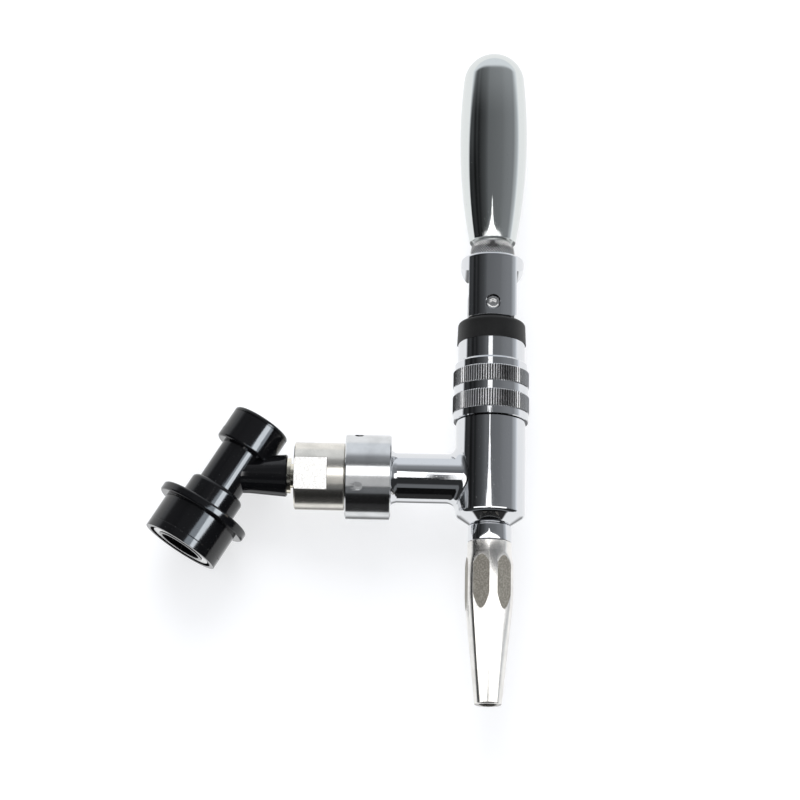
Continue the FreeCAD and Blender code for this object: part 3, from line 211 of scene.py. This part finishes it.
def chrome(name, tint=(0.76, 0.77, 0.79), ripple=4e-6):
    """Polished chrome: a faint orange-peel ripple, light wiping marks and a few dull specks."""
    finish = Finish(name, rgb(*tint), metallic=1.0, roughness=0.05)
    haze = finish.noise(60, 3)
    wiping = finish.noise(420, 4, stretch=(1, 1, 0.12))
    specks = finish.noise(1500, 1).between(0.71, 0.78)
    finish.roughness(0.03 + haze * 0.03 + wiping * 0.02 + specks * 0.18)
    finish.colour(finish.blend(specks * 0.5, rgb(*tint), rgb(0.5, 0.51, 0.52)))
    finish.bump(finish.noise(330, 2) + finish.noise(90, 1) * 1.5, ripple)
    return finish.material


def knurled_chrome(name, tint, dark_to, bright_from):
    """Chrome on a knurl: bright points, and painted shade that darkens the colour in the grooves,
    broken up by a little noise.
    """
    finish = Finish(name, rgb(*tint), metallic=1.0, roughness=0.2)
    crest = finish.add("ShaderNodeAttribute", {"attribute_name": "crest"}, output=2)
    # Noise that varies the edge of the painted groove shade at random.
    grime_and_shade = finish.noise(700, 2)
    shown = (crest + grime_and_shade * 0.2 - 0.1).between(dark_to, bright_from)
    # Painted shade: the colour goes dark where the crest mark falls to 0 in the grooves.
    finish.colour(finish.blend(shown, dimmed(tint, 0.04), rgb(*tint)))
    finish.roughness(0.4 - shown * 0.22)
    return finish.material


def turned_metal(name, tint, stand, roughness, line_pitch, line_depth, grime_and_shade=0.15):
    """Metal fresh off a lathe: fine rings round the axis of its piece and a little grime."""
    finish = Finish(name, rgb(*tint), metallic=1.0, roughness=roughness)
    place = finish.along(stand)
    rings = finish.noise(1 / line_pitch, 3, place=place, stretch=(0.01, 0.01, 1))
    patches = finish.noise(0.12, 3, place=place)
    finish.colour(finish.blend(patches.between(0.35, 0.75), rgb(*tint), dimmed(tint, 1 - grime_and_shade)))
    finish.roughness(roughness - 0.05 + rings * 0.12 + patches * 0.05)
    finish.bump(rings, line_depth)
    return finish.material


def milled_metal(name, tint, roughness):
    """A dull milled flat with a speckled face."""
    finish = Finish(name, rgb(*tint), metallic=1.0, roughness=roughness)
    grain = finish.noise(2600, 3)
    specks = finish.noise(1500, 3).between(0.42, 0.68)
    finish.colour(finish.blend(specks, dimmed(tint, 0.8), dimmed(tint, 1.3)))
    finish.roughness(roughness + grain * 0.15)
    finish.bump(grain, 2.5e-5)
    return finish.material


def gloss_plastic(name, tint):
    """Glossy black moulding: faint flow marks, fine hairline scratches and dust."""
    finish = Finish(name, rgb(*tint), roughness=0.1, IOR=1.52)
    flow = finish.noise(45, 3)
    hairs = finish.noise(700, 5, stretch=(1, 0.15, 0.08))
    dust = finish.noise(2400, 1).between(0.74, 0.8)
    finish.roughness(0.05 + flow * 0.05 + hairs * 0.05 + dust * 0.3)
    finish.colour(finish.blend(dust * 0.4, rgb(*tint), rgb(0.12, 0.12, 0.12)))
    finish.bump(flow * 3 + hairs * 0.15, 1.2e-5)
    return finish.material


def matt_plastic(name, tint, grain_depth=4e-5, roughness=0.5):
    """Matt moulding or rubber with a fine even grain."""
    finish = Finish(name, rgb(*tint), roughness=roughness)
    grain = finish.noise(1800, 3)
    wear = finish.noise(90, 4).between(0.4, 0.75)
    finish.colour(finish.blend(wear, rgb(*tint), dimmed(tint, 1.5)))
    finish.roughness(roughness + grain * 0.18)
    finish.bump(grain, grain_depth)
    return finish.material


def plain_metal(name, tint, roughness=0.3):
    """Drawn or machined metal of the inner pieces."""
    finish = Finish(name, rgb(*tint), metallic=1.0, roughness=roughness)
    haze = finish.noise(500, 3)
    finish.roughness(roughness - 0.06 + haze * 0.12)
    finish.bump(haze, 3e-6)
    return finish.material


turned_stainless = turned_metal("turned_stainless", (0.9, 0.88, 0.85), FAUCET, 0.16, 0.2, 5e-6)
milled_stainless = milled_metal("milled_stainless", (0.36, 0.34, 0.3), 0.45)
satin_nickel = turned_metal("satin_nickel", (0.84, 0.81, 0.75), TAIL, 0.2, 0.3, 3e-6)
nickel_flat = milled_metal("nickel_flat", (0.9, 0.89, 0.87), 0.28)
# Knurl finishes with painted shade in their grooves, dark up to dark_to and clear from
# bright_from.
ridge_chrome = knurled_chrome("ridge_chrome", (0.95, 0.95, 0.96), 0.34, 0.56)
point_chrome = knurled_chrome("point_chrome", (0.97, 0.97, 0.97), 0.22, 0.42)

FINISHES = {
    "chrome_plate": chrome("chrome_plate"),
    "handle_chrome": chrome("handle_chrome", (0.75, 0.775, 0.765), ripple=3e-6),
    "turned_chrome": turned_metal("turned_chrome", (0.76, 0.77, 0.78), TAIL, 0.12, 0.25, 9e-6),
    "satin_nickel": satin_nickel,
    "bright_nickel": turned_metal("bright_nickel", (0.9, 0.85, 0.73), TAIL, 0.14, 0.3, 4e-6),
    "turned_stainless": turned_stainless,
    "gloss_black": gloss_plastic("gloss_black", (0.003, 0.003, 0.0035)),
    "black_nylon": matt_plastic("black_nylon", (0.008, 0.008, 0.008), roughness=0.42),
    "white_nylon": matt_plastic("white_nylon", (0.72, 0.72, 0.69), 1e-5),
    "seal_rubber": matt_plastic("seal_rubber", (0.014, 0.014, 0.014), 2e-5, 0.6),
    "plain_stainless": plain_metal("plain_stainless", (0.72, 0.72, 0.72), 0.2),
    "spring_steel": plain_metal("spring_steel", (0.55, 0.55, 0.56)),
    "ball_steel": plain_metal("ball_steel", (0.7, 0.7, 0.72), 0.1),
    "bare_brass": plain_metal("bare_brass", (0.78, 0.58, 0.28), 0.26),
}
SLOTS = {row["node"]: row["material_slot"] for row in frame["record"]["subparts"]}
for name, slot in SLOTS.items():
    frame["nodes"][name].data.materials.clear()
    frame["nodes"][name].data.materials.append(FINISHES[slot])


# Making pieces

def arc(centre, radius, first, last, steps):
    """Points of an arc in an outline, by its first and last angle in degrees."""
    turns = [math.radians(first + (last - first) * step / steps) for step in range(steps + 1)]
    return [(centre[0] + radius * math.cos(turn), centre[1] + radius * math.sin(turn))
            for turn in turns]


def spun(outline, steps):
    """A solid of revolution about Z, from a closed outline of (radius, height) corners."""
    turned = bmesh.new()
    corners = [turned.verts.new((radius, 0, height)) for radius, height in outline]
    sides = []
    for number, corner in enumerate(corners):
        if max(outline[number][0], outline[number - 1][0]) > 0:
            sides.append(turned.edges.new((corners[number - 1], corner)))
    bmesh.ops.spin(turned, geom=corners + sides, cent=(0, 0, 0), axis=(0, 0, 1),
                   angle=math.tau, steps=steps, use_merge=True)
    bmesh.ops.remove_doubles(turned, verts=turned.verts, dist=1e-4)
    bmesh.ops.recalc_face_normals(turned, faces=turned.faces)
    return turned


def flats(shape, count, distance, clocking):
    """Mill flats round a turned shape, at a distance from its axis, in its second finish."""
    for number in range(count):
        turn = Matrix.Rotation(math.radians(clocking + 360 / count * number), 3, "Z")
        outwards = turn @ Vector((0, -1, 0))
        cut = bmesh.ops.bisect_plane(
            shape, geom=shape.verts[:] + shape.edges[:] + shape.faces[:], dist=1e-4,
            plane_co=outwards * distance, plane_no=outwards, clear_outer=True,
        )
        rim = [item for item in cut["geom_cut"] if isinstance(item, bmesh.types.BMEdge)]
        for face in bmesh.ops.edgenet_fill(shape, edges=rim)["faces"]:
            face.material_index = 1
    return shape


def piece_for(node, name, shape, edge, sharp=50, finishes=None):
    """Make a shape, already in the frame, the piece for a CAD node, with its edges broken."""
    mesh = bpy.data.meshes.new(name)
    shape.to_mesh(mesh)
    shape.free()
    mesh.shade_smooth()
    mesh.set_sharp_from_angle(angle=math.radians(sharp))
    piece = bpy.data.objects.new(name, mesh)
    bpy.context.scene.collection.objects.link(piece)
    if edge:
        broken = piece.modifiers.new("broken_edges", "BEVEL")
        broken.width = edge / 1000
        broken.segments = 2
        broken.limit_method = "ANGLE"
        broken.angle_limit = math.radians(sharp)
        even = piece.modifiers.new("even_faces", "WEIGHTED_NORMAL")
        even.keep_sharp = True
    for finish in finishes or [FINISHES[SLOTS[node]]]:
        mesh.materials.append(finish)
    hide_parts(node)
    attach(piece, frame["nodes"][node]["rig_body"])
    return piece


def made(node, name, shape, stand, edge=0.2, sharp=50, finishes=None):
    """Stand a turned shape in the frame as the piece for a CAD node."""
    shape.transform(TO_METRES @ stand)
    return piece_for(node, name, shape, edge, sharp, finishes)


def merged(node):
    """A copy of a CAD node's shape with its loose triangles joined up into clean faces."""
    shape = bmesh.new()
    shape.from_mesh(frame["nodes"][node].data)
    bmesh.ops.remove_doubles(shape, verts=shape.verts, dist=2e-6)
    bmesh.ops.dissolve_limit(shape, angle_limit=math.radians(0.5), verts=shape.verts,
                             edges=shape.edges)
    return shape


# The faucet's pieces, from the handle down

def make_handle():
    """Long bellied side that runs tangent into a round top, turned from one bar."""
    foot, belly, rise, length = 10.7, 15.7, 52.7, 94.6
    stud_depth = 16.6
    side = (rise ** 2 + (belly - foot) ** 2) / (2 * (belly - foot))
    upper, inset = length - rise, side - belly
    dome = (side ** 2 - inset ** 2 - upper ** 2) / (2 * (side - upper))
    join = math.degrees(math.asin((upper - dome) / (side - dome)))
    low = math.degrees(math.asin(-rise / side))
    outline = [(STUD_RADIUS, 0.0)] + arc((-inset, rise), side, low, join, 40)
    outline += arc((0, length - dome), dome, join, 90, 24)[1:-1]
    outline += [(0.0, length), (0.0, stud_depth), (STUD_RADIUS, stud_depth)]
    stand = FAUCET @ Matrix.Translation((0, 0, HANDLE_FOOT))
    made("handle", "polished_handle", spun(outline, 160), stand, edge=0.3)


def make_ferrule():
    """Lock nut with a bulging diamond knurl between a plain rim and a sloping shoulder."""
    rows, around = 10, 48
    low, high = 1.0, 7.4
    foot, shoulder, bulge, groove = 10.1, 9.4, 9.0, 0.42
    middle = Vector(((foot + shoulder) / 2, (low + high) / 2))
    along = Vector((shoulder - foot, high - low))
    inwards = Vector((-along.y, along.x)).normalized()
    centre = middle + inwards * math.sqrt(bulge ** 2 - (along.length / 2) ** 2)
    first = math.degrees(math.atan2(low - centre.y, foot - centre.x))
    last = math.degrees(math.atan2(high - centre.y, shoulder - centre.x))
    outline = [(STUD_RADIUS, 0.0), (foot - 0.25, 0.0), (foot, 0.25)]
    outline += arc(centre, bulge, first, last, rows)
    outline += [(8.5, 8.5), (STUD_RADIUS, 8.5)]
    shape = spun(outline, around * 2)
    crests = shape.verts.layers.float.new("crest")
    spread = math.tau / (around * 2)
    span = (last - first) / rows
    grooves = []
    for vert in shape.verts:
        reach = math.hypot(vert.co.x, vert.co.y)
        vert[crests] = 1.0
        if low - 0.01 < vert.co.z < high + 0.01 and reach > shoulder - 0.1:
            turn = math.degrees(math.atan2(vert.co.z - centre.y, reach - centre.x))
            row = round((turn - first) / span)
            column = round(math.atan2(vert.co.y, vert.co.x) / spread)
            # Groove points get crest 0, which the knurl finish paints as shade.
            if (row + column) % 2:
                grooves.append(vert)
                vert[crests] = 0.0
                vert.co.xy *= 1 - groove / reach
    bmesh.ops.connect_verts(shape, verts=grooves)
    stand = FAUCET @ Matrix.Translation((0, 0, LEVER_TOP))
    piece = made("knurled_ferrule", "diamond_knurled_ferrule", shape, stand, edge=0,
                 finishes=[point_chrome])
    piece.data.shade_flat()


def make_lever_head():
    """The cam head with its long edges broken to thin bright lines."""
    piece_for("lever_head", "cam_lever_head", merged("lever_head"), edge=0.55, sharp=25)


def make_pivot_screw():
    """Socket-head screw that stands proud of the well in the lever's front."""
    tail, socket_flat = 10.5, 1.6
    outline = [(0.0, 0.0), (2.5, 0.0), (2.5, 19.9), (3.2, 19.9), (3.2, 23.4)]
    outline += arc((2.2, 23.4), 1.0, 0, 90, 6)[1:]
    outline += [(1.85, 24.4), (1.85, 22.2), (0.0, 22.2)]
    shape = spun(outline, 48)
    for vert in shape.verts:
        reach = math.hypot(vert.co.x, vert.co.y)
        if vert.co.z > 22.1 and 1.8 < reach < 1.9:
            turn = math.atan2(vert.co.y, vert.co.x)
            nearest = (turn + math.pi / 6) % (math.pi / 3) - math.pi / 6
            vert.co.xy *= socket_flat / math.cos(nearest) / reach
    stand = FAUCET @ Matrix.Translation((0, tail, PIVOT_HEIGHT))
    stand = stand @ Matrix.Rotation(math.pi / 2, 4, "X")
    made("pivot_screw", "socket_head_pivot_screw", shape, stand, edge=0.1)


def make_bonnet():
    """Bonnet with two straight-knurled bands, a plain skirt and a bevelled ledge."""
    ridges, groove = 90, 0.65
    bands = ((17.45, 30.3, 38.6), (17.3, 42.4, 50.3))
    outline = [(13.3, 26.8), (16.85, 26.8), (17.15, 27.1), (17.15, 30.2)]
    for crest, foot, top in bands:
        outline += [(crest - groove, foot), (crest, foot + 0.4), (crest, top - 0.4),
                    (crest - groove, top)]
        if top < 40:
            outline += [(16.9, top + 0.05), (16.9, 42.35)]
    outline += [(16.55, 50.35), (16.55, 53.5), (15.6, 54.5), (15.35, 54.55), (15.35, 63.8),
                (10.05, 63.8), (10.05, 60.7), (8.05, 60.7), (8.05, 47.25), (13.3, 47.25)]
    shape = spun(outline, ridges * 2)
    crests = shape.verts.layers.float.new("crest")
    pitch = math.tau / (ridges * 2)
    for vert in shape.verts:
        vert[crests] = 1.0
        reach = math.hypot(vert.co.x, vert.co.y)
        for crest, foot, top in bands:
            if foot < vert.co.z < top and abs(reach - crest) < 0.05:
                # Groove points get crest 0, which the ridge finish paints as shade.
                if round(math.atan2(vert.co.y, vert.co.x) / pitch) % 2:
                    vert[crests] = 0.0
                    vert.co.xy *= 1 - groove / reach
    for face in shape.faces:
        if any(vert[crests] < 0.5 for vert in face.verts):
            face.material_index = 1
    made("bonnet", "knurled_bonnet", shape, FAUCET, edge=0, sharp=20,
         finishes=[FINISHES["chrome_plate"], ridge_chrome])


def make_spout_collar():
    """Lock ring with a bevel on top and a broken edge below."""
    outline = [(7.7, -29.3), (9.6, -29.3), (10.0, -28.9), (10.0, -22.4), (9.0, -21.4),
               (7.7, -21.4)]
    made("spout_collar", "spout_lock_ring", spun(outline, 128), FAUCET, edge=0.15)


def make_nozzle():
    """Tapered spout: plain band, flare with six wrench flats, long taper and a blunt tip."""
    outline = [(4.0, -102.3), (5.8, -102.3), (6.15, -101.95), (11.05, -53.8), (11.05, -40.1),
               (10.05, -34.6), (10.05, -29.6), (9.85, -29.4), (7.7, -29.4),
               (7.7, -39.9), (6.15, -39.9), (6.15, -55.0), (4.0, -69.0)]
    shape = flats(spun(outline, 192), count=6, distance=10.35, clocking=-22)
    made("nozzle", "tapered_nozzle", shape, FAUCET, edge=0.15, sharp=35,
         finishes=[turned_stainless, milled_stainless])


# The tail's and the disconnect's pieces

def make_adapter():
    """Adapter with two bare milled wrench flats of a finish of their own."""
    clocking, flat_distance = -7.5, 0.0135
    shape = merged("adapter")
    turn = TAIL @ Matrix.Rotation(math.radians(clocking), 4, "Z")
    outwards = turn.to_3x3() @ Vector((0, -1, 0))
    for face in shape.faces:
        reach = (face.calc_center_median() - FAUCET.to_translation() * 0.001).dot(outwards)
        if abs(face.normal.dot(outwards)) > 0.9999 and abs(abs(reach) - flat_distance) < 1e-5:
            face.material_index = 1
    piece_for("adapter", "flat_sided_adapter", shape, edge=0.15, sharp=25,
              finishes=[satin_nickel, nickel_flat])


def make_coupling_nut():
    """Spanner nut, with its rims and the mouths of its spanner holes broken."""
    piece_for("coupling_nut", "turned_coupling_nut", merged("coupling_nut"), edge=0.25, sharp=30)


def make_disconnect_body():
    """Moulding with the soft edges that a mould leaves."""
    piece_for("disconnect_body", "moulded_disconnect_body", merged("disconnect_body"), edge=0.35,
              sharp=30)


def make_disconnect_cap():
    """Screw plug with a slot for a wide blade."""
    piece_for("disconnect_cap", "slotted_screw_plug", merged("disconnect_cap"), edge=0.25,
              sharp=30)


def make_lock_sleeve():
    """Sleeve with a wide rounded flange and a fine mould line above its mouth."""
    outline = [(15.8, -39.4), (18.05, -39.4), (18.05, -35.5), (17.85, -35.4), (18.05, -35.3),
               (18.05, -22.55)]
    outline += arc((20.8, -21.55), 1.0, -90, 0, 6)
    outline += arc((20.8, -19.4), 1.0, 0, 90, 6)
    outline += [(13.15, -18.4), (13.15, -30.2), (11.45, -30.2), (11.45, -37.2), (15.8, -37.2)]
    made("lock_sleeve", "flanged_lock_sleeve", spun(outline, 160), DISCONNECT, edge=0.25)


def make_spring(node, name, moved_by):
    """A coil spring, a merged copy of its CAD node with a mesh of its own."""
    joint = next(row for row in frame["joints"] if row["name"] == moved_by)
    axis = Vector(joint["axis"])
    shape = merged(node)
    reach = [vert.co.dot(axis) for vert in shape.verts]
    top, length = max(reach), max(reach) - min(reach)
    spring = piece_for(node, name, shape, edge=0)
    1 - joint["range_m"][1] / length
    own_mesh(spring)


make_spring("return_spring", "coiled_return_spring", "stem_lift")
make_spring("poppet_spring", "coiled_poppet_spring", "poppet_lift")
make_spring("sleeve_spring", "coiled_sleeve_spring", "sleeve_lift")
for make in (
    make_handle, make_ferrule, make_lever_head, make_pivot_screw, make_bonnet,
    make_spout_collar, make_nozzle, make_adapter, make_coupling_nut, make_disconnect_body,
    make_disconnect_cap, make_lock_sleeve,
):
    make()


# Backdrop, light and camera

def make_backdrop():
    """The white sheet behind the object, with only its shadow, and clear from behind."""
    sheet = bmesh.new()
    bmesh.ops.create_grid(sheet, x_segments=1, y_segments=1, size=1.5)
    upright = Matrix.Translation((0.09, 0.0228, 0.05)) @ Matrix.Rotation(math.pi / 2, 4, "X")
    sheet.transform(upright)
    mesh = bpy.data.meshes.new("white_sheet")
    sheet.to_mesh(mesh)
    sheet.free()
    backdrop = bpy.data.objects.new("white_sheet", mesh)
    bpy.context.scene.collection.objects.link(backdrop)
    material = bpy.data.materials.new("white_sheet")
    paper = Tree(material)
    paper.tree.nodes.clear()
    glow = paper.add("ShaderNodeEmission", None, [rgb(1, 1, 1), 0.62])
    lit = paper.add("ShaderNodeBsdfDiffuse", None, [rgb(0.45, 0.46, 0.48)])
    white = paper.add("ShaderNodeAddShader", None, [glow, lit])
    clear = paper.add("ShaderNodeBsdfTransparent")
    behind = paper.add("ShaderNodeNewGeometry", output=6)
    mirrored = paper.add("ShaderNodeLightPath", output=3)
    hidden = behind.sum("MAXIMUM", behind, mirrored)
    shown = paper.add("ShaderNodeMixShader", None, [hidden, white, clear])
    paper.add("ShaderNodeOutputMaterial", None, [shown])
    mesh.materials.append(material)


# What polished metal mirrors in front, as (bearing in degrees, level), and how far it reaches.
WIDEST = 110
ROOM = (
    (-110, 0.02), (-98, 0.02), (-88, 0.06), (-79, 0.07), (-70, 0.015), (-62, 0.045),
    (-55, 0.018), (-47, 0.042), (-33, 0.07), (-26, 0.1), (-19, 0.145), (8, 0.165),
    (27, 0.18), (41, 0.22), (60, 0.245), (71, 0.25), (79, 0.42), (88, 0.55), (97, 1.0), (110, 1.0),
)


def make_world():
    """White for the camera, an even grey for diffuse light, and a studio for polished metal:
    a dim room in front, lighter to the right and overhead, and white paper all round behind."""
    world = bpy.data.worlds.new("studio")
    bpy.context.scene.world = world
    studio = Tree(world)
    studio.tree.nodes.clear()
    direction = studio.add("ShaderNodeTexCoord")
    right, back, up = (studio.add("ShaderNodeSeparateXYZ", None, [direction], part)
                       for part in range(3))
    bearing = right.sum("ARCTAN2", right, 0 - back) * DEGREES
    height = up.sum("ARCSINE", up) * DEGREES
    stops = [((turn + WIDEST) / (2 * WIDEST), level) for turn, level in ROOM]
    place = (bearing + WIDEST) * (1 / (2 * WIDEST))
    room = studio.add("ShaderNodeValToRGB", {"stops": stops}, [place])
    corner = bearing * (1 / 88)
    corner = corner * corner * corner * corner
    shade = bearing.between(-45, -72) * height.between(22, 14)
    room = room * (1 - shade * 0.5) + height.between(24, 36) * 0.1 + height.between(36, 50) * 0.08
    low = height.between(2, -8)
    room = room * (1 - low) + (0.03 + height.between(-36, -44) * 0.13) * low
    above = (height + corner * 22).between(43, 59)
    room = room * (1 - above) + above * 0.85
    paper = 1 - back.between(0.75, 0.93) * height.between(-5, -14) * 0.78
    edge = bearing.between(-98, -104) + bearing.between(95, 100)
    paper_edge = edge * (1 - above) + back.between(0.0, 0.12) * above
    level = room * (1 - paper_edge) + paper * paper_edge
    level = level * (1 - height.between(-56, -60) * 0.97)
    cool = studio.blend(paper_edge, rgb(0.94, 0.98, 1.03), rgb(0.98, 0.99, 1.0))
    polished = studio.add("ShaderNodeVectorMath", {"operation": "SCALE"}, {0: cool, 3: level})
    camera = studio.add("ShaderNodeLightPath", output=0)
    glossy = studio.add("ShaderNodeLightPath", output=3)
    seen = studio.blend(glossy, rgb(0.72, 0.73, 0.75), polished)
    seen = studio.blend(camera, seen, rgb(1, 1, 1))
    light = studio.add("ShaderNodeBackground", None, [seen, 1.0])
    studio.add("ShaderNodeOutputWorld", None, [light])


def make_lamp(name, place, aim, width, height, glow, colour=(1, 1, 1), mirrored=True,
              shape="RECTANGLE", lit=()):
    """A softbox of an even glow that the camera doesn't see, kept to some pieces or on all."""
    lamp = bpy.data.lights.new(name, "AREA")
    lamp.shape = shape
    lamp.size = width
    lamp.size_y = height
    lamp.energy = glow * math.pi * width * height
    lamp.color = colour
    holder = bpy.data.objects.new(name, lamp)
    holder.location = place
    holder.rotation_euler = (Vector(aim) - Vector(place)).to_track_quat("-Z", "Y").to_euler()
    holder.visible_camera = False
    holder.visible_glossy = mirrored
    bpy.context.scene.collection.objects.link(holder)
    if lit:
        group = bpy.data.collections.new(name + "_pieces")
        for piece in lit:
            group.objects.link(bpy.data.objects[piece])
        holder.light_linking.receiver_collection = group


def front_lamp(name, left, right, foot, top, glow, **settings):
    """A lamp upright in front of the object, by its edges in metres."""
    in_front = -0.6
    place = Vector(((left + right) / 2, in_front, (foot + top) / 2))
    make_lamp(name, place, place + Vector((0, 1, 0)), right - left, top - foot, glow, **settings)


def make_camera():
    """Level with the disconnect, looking slightly up, as the photograph was taken."""
    lens = bpy.data.cameras.new("camera")
    lens.sensor_width = 36
    lens.lens = 110.2
    lens.clip_start = 0.05
    lens.clip_end = 20
    camera = bpy.data.objects.new("camera", lens)
    camera.location = (0.0880, -1.075, -0.2533)
    aim = Vector((0.0880, 0, 0.055)) - camera.location
    camera.rotation_mode = "QUATERNION"
    level = aim.to_track_quat("-Z", "Y")
    roll = Matrix.Rotation(math.radians(1.2), 3, "Z")
    camera.rotation_quaternion = level @ roll.to_quaternion()
    bpy.context.scene.collection.objects.link(camera)
    bpy.context.scene.camera = camera


BLACK_PIECES = ("moulded_disconnect_body", "slotted_screw_plug", "flanged_lock_sleeve")
NUT_PIECES = ("turned_coupling_nut", "flat_sided_adapter")
UPRIGHT_PIECES = (
    "polished_handle", "diamond_knurled_ferrule", "cam_lever_head", "socket_head_pivot_screw",
    "knurled_bonnet", "spout_lock_ring", "tapered_nozzle", "faucet_body",
)

make_backdrop()
make_world()
front_lamp("window", 0.05, 0.108, -0.08, 0.19, 1.7, lit=UPRIGHT_PIECES)
front_lamp("window_top", 0.064, 0.092, 0.19, 0.214, 1.7, lit=UPRIGHT_PIECES)
front_lamp("window_head", 0.0, 0.15, 0.214, 0.272, 1.2, lit=["knurled_bonnet"])
front_lamp("window_low", 0.02, 0.13, 0.142, 0.168, 1.7, lit=UPRIGHT_PIECES)
front_lamp("window_step", -0.03, 0.15, 0.142, 0.155, 1.7, lit=UPRIGHT_PIECES)
front_lamp("window_foot", -0.16, 0.28, 0.09, 0.146, 1.7, shape="ELLIPSE", lit=UPRIGHT_PIECES)
front_lamp("left_band", -0.75, 0.035, -0.14, 0.132, 1.5, lit=UPRIGHT_PIECES)
front_lamp("right_band", 0.125, 0.95, -0.14, 0.132, 1.5, lit=UPRIGHT_PIECES)
front_lamp("tail_band", -0.2, 0.35, -0.08, 0.19, 1.8, lit=NUT_PIECES)
front_lamp("tail_glow", -0.2, 0.35, -0.45, -0.08, 0.5, lit=NUT_PIECES)
# Mirrored as a bright spot where the disconnect's arm joins its barrel.
make_lamp("arm_band", (-0.009, -0.55, -0.048), (-0.009, 0, -0.048), 0.042, 0.266, 6.0,
          lit=["moulded_disconnect_body"])
make_lamp("taper_right", (0.855, -0.338, -0.03), (0.13, 0, -0.05), 0.38, 0.34, 1.7,
          lit=["tapered_nozzle"])
make_lamp("taper_left", (-0.563, -0.4, -0.03), (0.13, 0, -0.05), 0.3, 0.34, 1.7,
          lit=["tapered_nozzle"])
make_lamp("softbox", (0.36, -0.55, -0.09), (0.05, 0, 0), 0.66, 0.17, 5.0, (0.8, 0.9, 1.0),
          lit=BLACK_PIECES)
make_lamp("softbox_core", (0.42, -0.5, -0.09), (0.05, 0, 0), 0.2, 0.17, 10.0, (0.9, 0.95, 1.0),
          lit=BLACK_PIECES)
make_lamp("side_lamp", (0.95, -0.4, -0.09), (0.05, 0, 0), 0.1, 0.3, 8.0, (1.0, 0.9, 0.75),
          lit=["flanged_lock_sleeve"])
make_lamp("overhead", (0.0, -0.7, 0.9), (0.09, 0, 0.05), 0.8, 0.8, 4.5, mirrored=False)
make_camera()

bpy.context.scene.view_settings.view_transform = "Standard"
